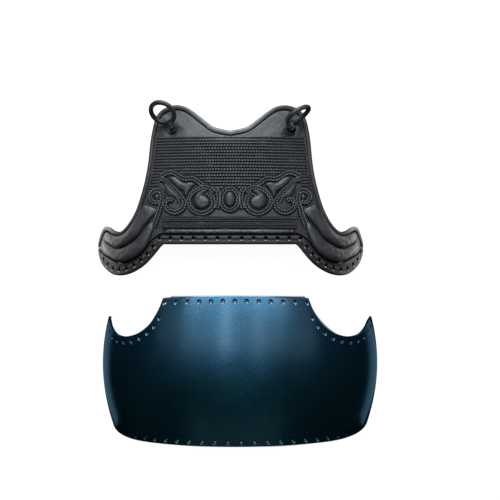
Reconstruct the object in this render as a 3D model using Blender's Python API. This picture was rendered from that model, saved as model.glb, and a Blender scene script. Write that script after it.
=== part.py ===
"""Kendo chest protector, unlaced: the quilted leather breastplate (mune) and the lacquered body shell (dai).

Both lie front face up on the plane Z = 0. +X is to the right, +Y towards the neck, +Z out of the chest.
Lengths are metres. Tables in millimetres say so in their comment and are scaled by MM.
"""

import math

import bmesh
import bpy
from mathutils import Vector

MM = 0.001
GAP = 0.0003                # clearance between pieces that touch
CUTTER_REACH = 0.0090       # of a cutter to each side of the surface
HOLE_SIDES = 6              # of each lacing hole and slot
NORMAL_STEP = 0.001         # over which a normal is measured

# Places of the two main pieces on the floor
BREAST_X = -0.0118          # middle of the breastplate
HEM_Y = 0.0363              # its straight bottom edge
SHELL_X = 0.0037            # middle of the body shell

# Breastplate: how the leather is bent. Across, arcs of growing slope (radius, slope at the arc's end).
CROSS_ARCS = (
    (0.365, math.radians(17.8)),
    (0.200, math.radians(50.0)),
    (0.080, math.radians(76.0)),
)
CREST_HEIGHT = 0.0986       # front surface over the floor at the hem's middle
CREST_FALL = 0.2419         # slope towards the neck
CREST_BEND = 0.50           # growth of that slope, 1/m
LEATHER_THICK = 0.0045
RIM_RADIUS = 0.0034
RIM_SIDES = 6
RIM_SINK = 0.0016           # the rim's middle under the front surface
BAND_THICK = 0.0048
BAND_PROUD = 0.0009         # the lacing band over the front surface
LACE_SLOT_RADIUS = 0.0019
LACE_SLOT_INSET = 0.0098    # slots from the hem's edge
LACE_SLOT_PITCH = 0.0187
WING_SLOTS = 10
BODY_SLOTS = 6              # on each side of the middle one
WING_LINE_FROM = 0.1045     # s from which the wing's slots follow the hem's curve
WING_SLOT_START = 0.0140    # way from the last body slot's line to the first wing slot
WING_SLOT_END = 0.0060      # way from the last wing slot to the tip
STEPS_PER_STATION = 2

# Flat outline of the leather, right half, in mm: s across along the leather, v up from the hem.
# name, hem s, hem v, top s, top v, width of the lacing band
STATIONS = (
    ("middle", 0, 0, 0, 181.2, 14.4),
    ("neck", 24, 0, 25.5, 187.5, 14.4),
    ("neck_rise", 42, 0, 43.2, 200.4, 14.4),
    ("neck_side", 58, 0, 60.9, 214.7, 14.4),
    ("shoulder_in", 70, 0, 74, 222.8, 14.4),
    ("shoulder_top", 82, 0, 89, 226.0, 14.4),
    ("shoulder_out", 92, 0, 103.5, 223.5, 14.4),
    ("shoulder_corner", 100, 0, 116.5, 216.5, 14.6),
    ("side_top", 105, 0, 125.5, 201.5, 15),
    ("side_high", 109, -3, 131.5, 170, 16),
    ("side", 113.5, -8, 134.6, 133, 17),
    ("side_low", 119, -14.5, 138.6, 107, 16.4),
    ("armhole_high", 126, -22, 145, 81.3, 15.8),
    ("armhole_side", 135, -30.5, 154.5, 54.5, 15.8),
    ("armhole_low", 147, -38.5, 168, 33.5, 16.2),
    ("armhole_floor", 163, -45.5, 184, 20.5, 17.2),
    ("ear_rise", 180, -49, 200, 21.5, 18.8),
    ("ear_in", 197, -48.8, 213, 27.0, 20.6),
    ("ear", 212, -44, 224.5, 28.4, 20.8),
    ("ear_out", 225, -37, 233.5, 23.0, 18.5),
    ("wing_side", 237.5, -27.0, 241.5, 12.5, 14.5),
    ("wing_round", 247.2, -14.2, 247.4, 1.5, 10.5),
    ("wing_tip", 247.8, -6.5, 247.8, -5.1, 8.0),
)

# Padded ribs of the wing, right half, in mm: name, lower edge s and v, upper edge s and v, height
RIB_UPPER = (
    ("root", 119.5, 49.0, 119.5, 54.0, 1.2),
    ("bulge_in", 124, 43.5, 125.5, 57.5, 3.6),
    ("bulge", 129.5, 36.5, 133, 60.5, 5.0),
    ("turn", 135, 30.2, 140.3, 61.8, 5.6),
    ("side", 141.5, 22.4, 144.7, 56.6, 6.0),
    ("fall", 149, 12.4, 151.0, 44.5, 6.4),
    ("bend", 157.5, 6.2, 157.9, 33.5, 6.4),
    ("low", 166, 1.2, 165.7, 24.2, 6.2),
    ("floor", 175, -3.0, 175.3, 16.5, 6.0),
    ("rise", 184.5, -5.4, 185.8, 12.6, 5.8),
    ("ear_in", 194, -5.4, 196.5, 12.6, 5.4),
    ("ear", 204.5, -2.0, 207, 15.0, 5.0),
    ("ear_out", 217, 2.8, 218.5, 18.4, 3.8),
    ("tip", 228.5, 8.6, 228.3, 15.4, 1.5),
)
RIB_LOWER = (
    ("root", 121.5, 27.5, 123.5, 33.2, 1.5),
    ("head", 124.2, 18.5, 129.5, 31.0, 3.4),
    ("neck", 127.8, 7.0, 136.5, 26.4, 4.8),
    ("side", 133.9, -4.6, 143, 18.4, 5.8),
    ("fall", 141.4, -13.0, 150.5, 8.8, 6.2),
    ("bend", 149.2, -18.7, 158.4, 3.2, 6.4),
    ("low", 159.1, -23.9, 166.8, -1.6, 6.4),
    ("floor", 169.6, -27.2, 175.8, -5.6, 6.4),
    ("rise", 180.6, -28.4, 185, -8.0, 6.2),
    ("ear_in", 189.9, -27.0, 194, -8.0, 6.0),
    ("ear", 200.1, -23.6, 204.5, -4.8, 5.6),
    ("ear_out", 210.2, -19.2, 216.6, 0.2, 4.8),
    ("tip_in", 220.6, -14.0, 226.2, 5.0, 3.4),
    ("tip", 228.8, -7.0, 232.2, 3.6, 1.4),
)

# Raised strip on the leather, right half, in mm: name, s, v, width, height
SIDE_BRAID = (
    ("top", 109, 73, 4.6, 2.2),
    ("middle", 111.6, 50, 4.6, 2.2),
    ("bottom", 117.0, 38, 4.6, 2.2),
)

# Padded shapes on the leather, right half. Each has its middle s and v and its rise in mm, then its outline
LEAF_CREST = (
    (77.5, 91.5, 4.4),
    (
        (54.0, 93.0), (58.7, 88.7), (62.5, 83.3), (65.6, 77.8), (68.7, 72.4), (71.9, 74.7), (74.4, 80.2),
        (77.6, 83.8), (82.2, 85.4), (87.2, 88.8), (92.8, 94.4), (98.0, 99.4), (101.0, 102.8), (99.3, 105.3),
        (94.4, 107.0), (88.7, 106.7), (84.4, 104.7), (79.6, 101.2), (75.3, 98.0), (70.7, 96.6), (64.4, 97.6),
        (59.6, 96.9),
    ),
)
COMMA_BOSS = (
    (47.2, 69.8, 4.6),
    (
        (41.6, 76.0), (38.6, 74.4), (35.0, 72.0), (31.8, 68.2), (31.0, 63.5), (34.0, 58.1), (39.4, 54.6),
        (46.4, 53.9), (53.4, 56.7), (57.4, 62.1), (58.3, 68.4), (56.8, 73.8), (53.6, 78.5), (49.2, 81.9),
        (45.6, 84.6), (41.0, 86.0), (37.0, 85.6), (35.2, 82.8), (37.0, 80.4), (39.8, 78.6),
    ),
)
CURL = (
    (92.0, 82.0, 3.0),
    (
        (106.6, 97.4), (99.4, 94.0), (93.8, 89.2), (88.4, 83.8), (83.4, 78.4), (79.6, 72.0), (78.2, 66.0),
        (80.4, 62.6), (83.2, 64.4), (84.6, 69.0), (87.4, 72.4), (91.6, 73.8), (96.4, 74.6), (100.6, 77.6),
        (103.8, 83.4), (105.8, 90.6),
    ),
)
SMALL_CURL = (
    (117.8, 74.0, 3.4),
    (
        (113.4, 73.0), (114.6, 70.2), (117.4, 68.9), (120.4, 69.5), (122.3, 71.8), (122.6, 74.8),
        (121.0, 77.8), (118.2, 79.2), (115.2, 78.4), (113.6, 76.0),
    ),
)

# Straight rolls across the front, in mm: name, v, half length, width, height
CROSS_ROLLS = (
    ("ridge_roll", 18.9, 104.5, 7.0, 3.2),
    ("lower_braid", 27.2, 106.5, 6.6, 2.4),
    ("upper_braid", 37.6, 107.5, 6.4, 2.4),
)

UNDERSIDE_SHARES = (0.05, 0.45, 0.75, 1.0)      # rings of a pillow's underside, which follows the leather
EDGE_HEIGHT = 0.0006                            # of a pillow's upright edge
STRIP_UNDERSIDE_SHARES = (0.95, 0.72, 0.5, 0.28, 0.05)      # lines of a strip's underside
STRIP_EDGE_HEIGHT = 0.0004                      # of a strip's upright edges

# Egg boss in the middle
EGG_HALF_WIDTH = 0.0094
EGG_HALF_HEIGHT = 0.0129
EGG_V = 0.0694
EGG_RISE = 0.0046
EGG_TURNS = 14
EGG_POINT = 0.10            # share of its width that the egg loses at the top

# Shoulder loops: stiff leather rings that stand off the shoulders
LOOP_RADIUS = 0.0198
LOOP_TUBE = 0.0034
LOOP_STEPS = 20
LOOP_SIDES = 7
LOOP_HOLE_RADIUS = 0.0050
LOOP_HOLE_SIDES = 10
STEM_RADII = (0.0042, 0.0034)   # at the ring and in the hole
STEM_SIDES = 8
STEM_OVER = 0.0045              # the stem turns into the hole at this height
STEM_UNDER = 0.0030             # and ends this far under the front surface
STEM_SEAM = Vector((0.9, 0.3, 0.1))     # direction that its rings are laid out from
# name, middle x and y from the hem's middle and z in mm, turn of the long axis and tilt in degrees,
# hole s and v in mm, angle on the ring where the stem leaves it
LOOPS = (
    ("left", -108.5, 210.3, 37.0, -24.5, 47.0, -94.5, 184.5, -25.0),
    ("right", 108.3, 206.9, 38.0, 32.0, 75.0, 99.0, 184.0, 180.0),
)

# Body shell: half ellipses across, swelling at mid height
TOP_EDGE_Y = -0.0410        # middle of the top edge
SHELL_HALF_WIDTH = 0.2245
SHELL_HEIGHT = 0.1600
SHELL_END_ANGLE = math.radians(86.0)
SHELL_BULGE_Y = TOP_EDGE_Y - 0.1151     # widest section
SHELL_BULGE = 1.725         # loss of half width, 1/m
SHELL_LEAN = -0.045         # crown's shift to the left for each unit of height
SHELL_THICK = 0.0045
SHELL_ROWS = 6
HOLE_RADIUS = 0.0019
TOP_HOLES = 6               # on each side of the middle one
TOP_HOLE_PITCH = 0.0176
TOP_HOLE_INSET = 0.0085
SCOOP_HOLES = 11
SCOOP_HOLE_INSET = 0.0092
SCOOP_HOLE_START = 0.0300   # way from the top corner to the first hole
SCOOP_HOLE_END = 0.0160     # way from the last hole to the horn's tip
BOTTOM_HOLES = 11           # on each side
BOTTOM_HOLE_PITCH = 0.0218
BOTTOM_HOLE_INSET = 0.0062
ROUND_STEPS = 200           # of the sum that measures the way round the bottom edge
BOTTOM_Y = TOP_EDGE_Y - 0.2270
BOTTOM_LIFT = 0.0140        # of the bottom edge at the side edges
BOTTOM_LIFT_FROM = math.radians(45.0)
TOP_EDGE_FALL = 0.0045      # at the corners of the top edge
TOP_CORNER = math.radians(33.0)

# Armhole scoop from the top corner to the horn's tip, right side: name, angle round the shell in degrees,
# mm below the top edge's middle
SCOOP = (
    ("corner", 33.0, 5.1),
    ("fall", 34.4, 23.6),
    ("side", 37.6, 44.1),
    ("bend", 42.6, 57.6),
    ("floor", 48.0, 63.9),
    ("lowest", 53.5, 65.6),
    ("rise", 60.5, 62.9),
    ("horn", 68.0, 54.1),
    ("horn_high", 76.0, 43.6),
    ("tip", 86.0, 36.1),
)
SCOOP_STEPS = 2
TOP_STEPS = 8


def material(name, colour, roughness, metallic=0.0):
    """A plain finish with the piece's colour."""
    made = bpy.data.materials.new(name)
    made.use_nodes = True
    shader = made.node_tree.nodes["Principled BSDF"]
    shader.inputs["Base Color"].default_value = (*colour, 1.0)
    shader.inputs["Roughness"].default_value = roughness
    shader.inputs["Metallic"].default_value = metallic
    return made


def mesh_object(name, points, faces, finish, hidden=False):
    """One object from points and faces, its normals facing out."""
    mesh = bpy.data.meshes.new(name)
    mesh.from_pydata([tuple(p) for p in points], [], faces)
    built = bmesh.new()
    built.from_mesh(mesh)
    bmesh.ops.recalc_face_normals(built, faces=built.faces)
    built.to_mesh(mesh)
    built.free()
    mesh.shade_smooth()
    mesh.set_sharp_from_angle(angle=math.radians(40.0))
    obj = bpy.data.objects.new(name, mesh)
    bpy.context.scene.collection.objects.link(obj)
    if hidden:
        obj.hide_render = True
        obj.display_type = "WIRE"
    else:
        mesh.materials.append(material(name + "_finish", *finish))
    return obj


def cut(obj, cutter):
    """Takes the cutter's shape out of the object."""
    boolean = obj.modifiers.new("cut_" + cutter.name, "BOOLEAN")
    boolean.operation = "DIFFERENCE"
    boolean.solver = "EXACT"
    boolean.object = cutter


def spline(rows, steps):
    """Points on a smooth curve through the rows, ends included."""
    rows = [tuple(row) for row in rows]
    padded = [tuple(2 * a - b for a, b in zip(rows[0], rows[1]))] + rows
    padded.append(tuple(2 * a - b for a, b in zip(rows[-1], rows[-2])))
    made = []
    for i in range(1, len(padded) - 2):
        for k in range(steps):
            t = k / steps
            made.append(tuple(
                0.5 * (2 * b + (c - a) * t + (2 * a - 5 * b + 4 * c - d) * t ** 2
                       + (3 * b - a - 3 * c + d) * t ** 3)
                for a, b, c, d in zip(*padded[i - 1:i + 3])
            ))
    return made + [rows[-1]]


def directions(path):
    """Unit directions along a flat path, by central differences."""
    made = []
    for i in range(len(path)):
        a = path[max(i - 1, 0)]
        b = path[min(i + 1, len(path) - 1)]
        made.append(Vector((b[0] - a[0], b[1] - a[1])).normalized())
    return made


def inset(path, distances):
    """A flat path moved to its left by a distance for each point."""
    return [
        (p[0] - d.y * w, p[1] + d.x * w)
        for p, d, w in zip(path, directions(path), distances)
    ]


def path_length(path):
    return sum(math.dist(a[:2], b[:2]) for a, b in zip(path, path[1:]))


def spaced(path, start, end, count):
    """Points at equal spacing along a path, from start to end of the length of its first two columns."""
    ways = [0.0]
    for a, b in zip(path, path[1:]):
        ways.append(ways[-1] + math.dist(a[:2], b[:2]))
    made = []
    for i in range(count):
        way = start + (end - start) * i / (count - 1)
        k = max(j for j in range(len(path) - 1) if ways[j] <= way)
        t = (way - ways[k]) / (ways[k + 1] - ways[k])
        made.append(tuple(a + (b - a) * t for a, b in zip(path[k], path[k + 1])))
    return made


def skin(layers, closed_ends=True):
    """Faces that join rings of equal length one after another, with flat caps."""
    size = len(layers[0])
    points = [p for layer in layers for p in layer]
    faces = []
    for i in range(len(layers) - 1):
        for j in range(size):
            k = (j + 1) % size
            faces.append((i * size + j, i * size + k, (i + 1) * size + k, (i + 1) * size + j))
    if closed_ends:
        faces.append(tuple(range(size)))
        faces.append(tuple((len(layers) - 1) * size + j for j in range(size)))
    return points, faces


# ---------------------------------------------------------------- the bent leather

def cross_section(s):
    """x, drop and slope of the leather at s along it from the middle."""
    side = math.copysign(1.0, s)
    left, x, drop, slope = abs(s), 0.0, 0.0, 0.0
    for radius, end in CROSS_ARCS:
        turn = min(left / radius, end - slope)
        x += radius * (math.sin(slope + turn) - math.sin(slope))
        drop += radius * (math.cos(slope) - math.cos(slope + turn))
        left -= radius * turn
        slope += turn
        if left <= 0:
            break
    return side * (x + left * math.cos(slope)), drop + left * math.sin(slope), side * slope


def leather(s, v, h=0.0):
    """World point at s across and v up the front of the leather, h over its surface."""
    x, drop, slope = cross_section(s)
    z = CREST_HEIGHT - CREST_FALL * v - CREST_BEND * v * v - drop
    fall = -CREST_FALL - 2 * CREST_BEND * v
    normal = Vector((math.sin(slope), -math.cos(slope) * fall, math.cos(slope))).normalized()
    return Vector((BREAST_X + x, HEM_Y + v, z)) + normal * h


def outline():
    """Hem points, top points and band widths for the whole width, left to right."""
    rows = [tuple(value * MM for value in row[1:]) for row in STATIONS]
    half = spline(rows, STEPS_PER_STATION)
    mirrored = [(-a, b, -c, d, e) for a, b, c, d, e in reversed(half[1:])]
    whole = mirrored + half
    hem = [(row[0], row[1]) for row in whole]
    top = [(row[2], row[3]) for row in whole]
    return hem, top, [row[4] for row in whole]


def slab(name, lower, upper, rows, back, front, finish):
    """A bent sheet between two flat paths, from h = back to h = front."""
    columns = []
    for a, b in zip(lower, upper):
        flat = [(a[0] + (b[0] - a[0]) * j / rows, a[1] + (b[1] - a[1]) * j / rows) for j in range(rows + 1)]
        over = [leather(s, v, front) for s, v in flat]
        under = [leather(s, v, back) for s, v in reversed(flat)]
        columns.append(over + under)
    points, faces = skin(columns, closed_ends=False)
    for base, flip in ((0, False), ((len(columns) - 1) * 2 * (rows + 1), True)):
        for j in range(rows):
            face = (base + j, base + j + 1, base + 2 * rows - j, base + 2 * rows + 1 - j)
            faces.append(face if flip else face[::-1])
    return mesh_object(name, points, faces, finish)


def arched(name, lows, highs, heights, finish, side=1, across=4):
    """A raised strip between two flat paths, with an arched top and an underside that follows the leather."""
    layers = []
    for low, high, height in zip(lows, highs, heights):
        ring = []
        for j in range(across + 1):
            angle = math.pi * j / across
            ring.append(((1 - math.cos(angle)) / 2, GAP + STRIP_EDGE_HEIGHT + height * math.sin(angle)))
        ring += [(t, GAP) for t in STRIP_UNDERSIDE_SHARES]
        layers.append([
            leather(side * (low[0] + (high[0] - low[0]) * t), low[1] + (high[1] - low[1]) * t, h)
            for t, h in ring
        ])
    return mesh_object(name, *skin(layers), finish)


def strip(name, rows, steps, finish, side=1, across=4):
    """An arched strip along a middle line, from rows of s, v, width and height in mm."""
    path = spline([tuple(value * MM for value in row) for row in rows], steps)
    flat = [(s, v) for s, v, _, _ in path]
    lows = inset(flat, [-width / 2 for _, _, width, _ in path])
    highs = inset(flat, [width / 2 for _, _, width, _ in path])
    return arched(name, lows, highs, [row[3] for row in path], finish, side, across)


def rib(name, rows, finish, side):
    """A padded rib of the wing, from rows of its two edges and its height."""
    path = spline([tuple(value * MM for value in row[1:]) for row in rows], STEPS_PER_STATION)
    lows = [row[0:2] for row in path]
    highs = [row[2:4] for row in path]
    return arched(name, lows, highs, [row[4] for row in path], finish, side)


def dome(name, outline_points, centre, rise, finish, side=1, rings=3):
    """A pillow on the leather, from its flat outline, its middle and its rise over the leather."""
    s, v = centre
    steps = [(share, GAP) for share in UNDERSIDE_SHARES]
    for i in range(rings + 1):
        angle = math.pi / 2 * i / (rings + 0.6)
        steps.append((math.cos(angle), GAP + EDGE_HEIGHT + rise * math.sin(angle)))
    layers = []
    for share, height in steps:
        flat = [(s + (a - s) * share, v + (b - v) * share) for a, b in outline_points]
        layers.append([leather(side * a, b, height) for a, b in flat])
    return mesh_object(name, *skin(layers), finish)


def shape(name, table, finish, side):
    """A pillow from a table of its middle and rise, then its outline, in mm."""
    (s, v, rise), outline_points = table
    flat = [(a * MM, b * MM) for a, b in outline_points]
    return dome(name, flat, (s * MM, v * MM), rise * MM, finish, side)


def egg():
    """Flat outline of the middle boss, narrower at the top."""
    made = []
    for i in range(EGG_TURNS):
        angle = 2 * math.pi * i / EGG_TURNS
        narrow = 1.0 - EGG_POINT * max(math.sin(angle), 0.0) ** 2
        made.append((EGG_HALF_WIDTH * math.cos(angle) * narrow, EGG_V + EGG_HALF_HEIGHT * math.sin(angle)))
    return made


def tube(path, radii, sides, up):
    """Rings of a round tube along a path of world points, with its radius at each end."""
    layers = []
    for i, p in enumerate(path):
        radius = radii[0] + (radii[1] - radii[0]) * i / (len(path) - 1)
        along = (path[min(i + 1, len(path) - 1)] - path[max(i - 1, 0)]).normalized()
        one = along.cross(up[i] if isinstance(up, list) else up).normalized()
        two = along.cross(one)
        layers.append([
            p + (one * math.cos(2 * math.pi * j / sides) + two * math.sin(2 * math.pi * j / sides)) * radius
            for j in range(sides)
        ])
    return layers


def drill(name, places, radius, sides):
    """One cutter of prisms that go right through, each at a point and along its normal."""
    points, faces = [], []
    for place, normal in places:
        one = normal.orthogonal().normalized()
        two = normal.cross(one)
        base = len(points)
        for end in (-CUTTER_REACH, CUTTER_REACH):
            for j in range(sides):
                angle = 2 * math.pi * (j + 0.5) / sides
                points.append(place + normal * end + (one * math.cos(angle) + two * math.sin(angle)) * radius)
        faces.append(tuple(base + j for j in range(sides)))
        faces.append(tuple(base + sides + j for j in range(sides)))
        for j in range(sides):
            k = (j + 1) % sides
            faces.append((base + j, base + k, base + sides + k, base + sides + j))
    return mesh_object(name, points, faces, None, hidden=True)


def leather_normal(s, v):
    return (leather(s, v, NORMAL_STEP) - leather(s, v)).normalized()


def lace_slots(hem):
    """Flat places of the slots in the lacing band."""
    places = [(LACE_SLOT_PITCH * i, LACE_SLOT_INSET) for i in range(-BODY_SLOTS, BODY_SLOTS + 1)]
    wing = [p for p in hem if p[0] > WING_LINE_FROM]
    line = inset(wing, [LACE_SLOT_INSET] * len(wing))
    line = [p for p in line if p[0] > BODY_SLOTS * LACE_SLOT_PITCH]
    for s, v in spaced(line, WING_SLOT_START, path_length(line) - WING_SLOT_END, WING_SLOTS):
        places += [(s, v), (-s, v)]
    return places


def build_breastplate():
    leather_finish = ((0.032, 0.036, 0.040), 0.55)
    trim_finish = ((0.040, 0.044, 0.047), 0.5)
    hem, top, band = outline()
    count = len(hem)
    band_inner = inset(hem, band)
    panel_low = inset(hem, [w + GAP for w in band])
    panel_high = inset(top, [-(2 * RIM_RADIUS + GAP)] * count)
    panel = slab("mune_panel", panel_low, panel_high, 5, -LEATHER_THICK, 0.0, leather_finish)
    border = slab("lacing_band", hem, band_inner, 2, BAND_PROUD - BAND_THICK, BAND_PROUD, trim_finish)
    slots = [(leather(s, v), leather_normal(s, v)) for s, v in lace_slots(hem)]
    cut(border, drill("lace_slot_cutter", slots, LACE_SLOT_RADIUS, HOLE_SIDES))

    middle = inset(top, [-RIM_RADIUS] * count)
    path = [leather(s, v, -RIM_SINK) for s, v in middle]
    normals = [leather_normal(s, v) for s, v in middle]
    mesh_object("mune_rim", *skin(tube(path, (RIM_RADIUS, RIM_RADIUS), RIM_SIDES, normals)), trim_finish)

    for name, v, half, width, height in CROSS_ROLLS:
        rows = [(half * i / 6, v, width, height) for i in range(-6, 7)]
        strip(name, rows, 1, trim_finish)
    for side, word in ((-1, "left"), (1, "right")):
        rib(f"wing_rib_upper_{word}", RIB_UPPER, leather_finish, side)
        rib(f"wing_rib_lower_{word}", RIB_LOWER, leather_finish, side)
        strip(f"side_braid_{word}", [row[1:] for row in SIDE_BRAID], 4, trim_finish, side)
        shape(f"leaf_crest_{word}", LEAF_CREST, trim_finish, side)
        shape(f"curl_{word}", CURL, trim_finish, side)
        shape(f"small_curl_{word}", SMALL_CURL, trim_finish, side)
        shape(f"comma_boss_{word}", COMMA_BOSS, trim_finish, side)
    dome("egg_boss", egg(), (0.0, EGG_V), EGG_RISE, trim_finish)
    build_loops(panel, trim_finish)


def build_loops(panel, finish):
    """The shoulder loops with their bound stems, and the holes that the stems go into."""
    holes = []
    for name, x, y, z, turn, tilt, hole_s, hole_v, stem_at in LOOPS:
        centre = Vector((BREAST_X + x * MM, HEM_Y + y * MM, z * MM))
        long_axis = Vector((math.cos(math.radians(turn)), math.sin(math.radians(turn)), 0.0))
        level = Vector((-long_axis.y, long_axis.x, 0.0))
        short_axis = level * math.cos(math.radians(tilt)) + Vector((0, 0, 1)) * math.sin(math.radians(tilt))
        facing = long_axis.cross(short_axis)
        ring = []
        for i in range(LOOP_STEPS):
            angle = 2 * math.pi * i / LOOP_STEPS
            spoke = long_axis * math.cos(angle) + short_axis * math.sin(angle)
            ring.append([
                centre + spoke * (LOOP_RADIUS + LOOP_TUBE * math.cos(2 * math.pi * j / LOOP_SIDES))
                + facing * LOOP_TUBE * math.sin(2 * math.pi * j / LOOP_SIDES)
                for j in range(LOOP_SIDES)
            ])
        points, faces = skin(ring + [ring[0]], closed_ends=False)
        first = LOOP_STEPS * LOOP_SIDES
        loop = mesh_object(f"shoulder_loop_{name}", points[:first],
                           [tuple(k % first for k in face) for face in faces], finish)

        s, v = hole_s * MM, hole_v * MM
        angle = math.radians(stem_at)
        start = centre + (long_axis * math.cos(angle) + short_axis * math.sin(angle)) * LOOP_RADIUS
        over = leather(s, v, STEM_OVER)
        under = leather(s, v, -STEM_UNDER)
        route = [Vector(p) for p in spline([start, start.lerp(over, 0.5), over, under], 3)]
        rings = tube(route, STEM_RADII, STEM_SIDES, STEM_SEAM)
        stem = mesh_object(f"loop_stem_{name}", *skin(rings), None, hidden=True)
        joined = loop.modifiers.new("stem", "BOOLEAN")
        joined.operation = "UNION"
        joined.solver = "EXACT"
        joined.object = stem
        holes.append((leather(s, v), leather_normal(s, v)))
    cut(panel, drill("loop_hole_cutter", holes, LOOP_HOLE_RADIUS, LOOP_HOLE_SIDES))


# ---------------------------------------------------------------- the body shell

def half_width(y):
    return SHELL_HALF_WIDTH - SHELL_BULGE * (y - SHELL_BULGE_Y) ** 2


def depth(y):
    full = SHELL_HEIGHT / (1 - math.cos(SHELL_END_ANGLE))
    return full * math.sqrt(half_width(y) / SHELL_HALF_WIDTH)


def floor_drop():
    return SHELL_HEIGHT / (1 - math.cos(SHELL_END_ANGLE)) - SHELL_HEIGHT


def shell(angle, y, inside=0.0):
    """World point on the shell at an angle from its crown, at y, and some way inside its outer face.

    The last angle is bent a little so that the edge lies in the plane Z = 0.
    """
    end = math.acos(floor_drop() / depth(y))
    angle = angle * end / SHELL_END_ANGLE
    z = depth(y) * math.cos(angle) - floor_drop()
    x = half_width(y) * math.sin(angle)
    normal = Vector((math.sin(angle) / half_width(y), 0.0, math.cos(angle) / depth(y))).normalized()
    at_edge = abs(abs(angle) - end) < 1e-6
    step = Vector((math.copysign(1.0, angle), 0.0, 0.0)) if at_edge else normal
    point = Vector((x, y, 0.0 if at_edge else z)) - step * inside
    return Vector((SHELL_X + point.x + SHELL_LEAN * max(z, 0.0), point.y, point.z))


def shell_normal(angle, y):
    return (shell(angle, y) - shell(angle, y, NORMAL_STEP)).normalized()


def bottom_edge(angle):
    way = max(abs(angle) - BOTTOM_LIFT_FROM, 0.0) / (SHELL_END_ANGLE - BOTTOM_LIFT_FROM)
    return BOTTOM_Y + BOTTOM_LIFT * way ** 2


def top_edge_y(angle):
    return TOP_EDGE_Y - TOP_EDGE_FALL * (angle / TOP_CORNER) ** 2


def scoop(steps):
    """Angle and y along the armhole, from the top corner to the horn's tip."""
    return spline([(math.radians(a), TOP_EDGE_Y - drop * MM) for _, a, drop in SCOOP], steps)


def arc_radius(angle):
    """Length for each radian round the shell, near this angle."""
    return math.hypot(SHELL_HALF_WIDTH * math.cos(angle), depth(SHELL_BULGE_Y) * math.sin(angle))


def angle_at(way):
    """Angle of a point laid out flat at its arc radius times its angle, found by repeated division."""
    angle = way / SHELL_HALF_WIDTH
    for _ in range(20):
        angle = way / arc_radius(angle)
    return angle


def hole_places():
    """Angle and y of each lacing hole."""
    places = []
    for i in range(-TOP_HOLES, TOP_HOLES + 1):
        angle = math.asin(i * TOP_HOLE_PITCH / half_width(TOP_EDGE_Y))
        places.append((angle, top_edge_y(angle) - TOP_HOLE_INSET))
    curve = [(arc_radius(a) * a, y) for a, y in scoop(8)]
    line = inset(curve, [-SCOOP_HOLE_INSET] * len(curve))
    for s, y in spaced(line, SCOOP_HOLE_START, path_length(line) - SCOOP_HOLE_END, SCOOP_HOLES):
        angle = angle_at(s)
        places += [(angle, y), (-angle, y)]
    round_edge = [(0.0, 0.0)]
    for i in range(1, ROUND_STEPS + 1):
        angle = SHELL_END_ANGLE * i / ROUND_STEPS
        way = round_edge[-1][0] + arc_radius(angle) * SHELL_END_ANGLE / ROUND_STEPS
        round_edge.append((way, angle))
    for i in range(BOTTOM_HOLES):
        way = BOTTOM_HOLE_PITCH * (i + 0.5)
        angle = next(a for w, a in round_edge if w >= way)
        y = bottom_edge(angle) + BOTTOM_HOLE_INSET
        places += [(angle, y), (-angle, y)]
    return places


def build_shell():
    finish = ((0.006, 0.035, 0.055), 0.14)
    half = [(TOP_CORNER * i / TOP_STEPS, top_edge_y(TOP_CORNER * i / TOP_STEPS)) for i in range(TOP_STEPS)]
    half += scoop(SCOOP_STEPS)
    columns = [(-a, y) for a, y in reversed(half[1:])] + half
    layers = []
    for angle, top in columns:
        low = bottom_edge(angle)
        rows = [low + (top - low) * j / SHELL_ROWS for j in range(SHELL_ROWS + 1)]
        outer = [shell(angle, y) for y in rows]
        inner = [shell(angle, y, SHELL_THICK) for y in reversed(rows)]
        layers.append(outer + inner)
    points, faces = skin(layers, closed_ends=False)
    for base, flip in ((0, False), ((len(layers) - 1) * 2 * (SHELL_ROWS + 1), True)):
        for j in range(SHELL_ROWS):
            face = (base + j, base + j + 1, base + 2 * SHELL_ROWS - j, base + 2 * SHELL_ROWS + 1 - j)
            faces.append(face if flip else face[::-1])
    body = mesh_object("dai_shell", points, faces, finish)
    holes = [(shell(a, y), shell_normal(a, y)) for a, y in hole_places()]
    cut(body, drill("hole_cutter", holes, HOLE_RADIUS, HOLE_SIDES))


def main():
    for obj in list(bpy.data.objects):
        bpy.data.objects.remove(obj, do_unlink=True)
    build_breastplate()
    build_shell()


main()
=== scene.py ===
"""Looks of an unlaced kendo chest protector: the stitched leather breastplate (mune) and the lacquered shell (dai).

Leather work is laid out flat, as on a maker's bench: s across from the middle, v up from the hem and h over the
surface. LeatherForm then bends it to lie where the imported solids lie. The shell is laid out by the angle round it.
Lengths are metres. A table in millimetres says so and is scaled by MM.
"""

import logging
import math
from collections.abc import Callable, Sequence
from dataclasses import dataclass
from enum import Enum

import bmesh
import bpy
import numpy as np
from mathutils import Matrix, Vector
from mathutils.geometry import delaunay_2d_cdt


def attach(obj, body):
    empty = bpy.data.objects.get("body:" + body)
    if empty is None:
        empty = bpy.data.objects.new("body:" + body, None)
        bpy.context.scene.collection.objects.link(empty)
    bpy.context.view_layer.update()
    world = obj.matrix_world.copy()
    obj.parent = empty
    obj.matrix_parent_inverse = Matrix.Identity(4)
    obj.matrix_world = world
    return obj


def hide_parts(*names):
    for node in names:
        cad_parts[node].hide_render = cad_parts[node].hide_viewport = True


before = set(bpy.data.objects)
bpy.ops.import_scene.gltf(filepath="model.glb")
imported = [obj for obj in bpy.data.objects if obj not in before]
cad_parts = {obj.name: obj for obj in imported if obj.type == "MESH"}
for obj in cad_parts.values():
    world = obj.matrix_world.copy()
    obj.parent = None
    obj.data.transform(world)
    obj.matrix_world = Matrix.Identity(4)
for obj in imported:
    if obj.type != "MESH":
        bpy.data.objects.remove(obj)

log = logging.getLogger("chest_protector")

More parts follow.
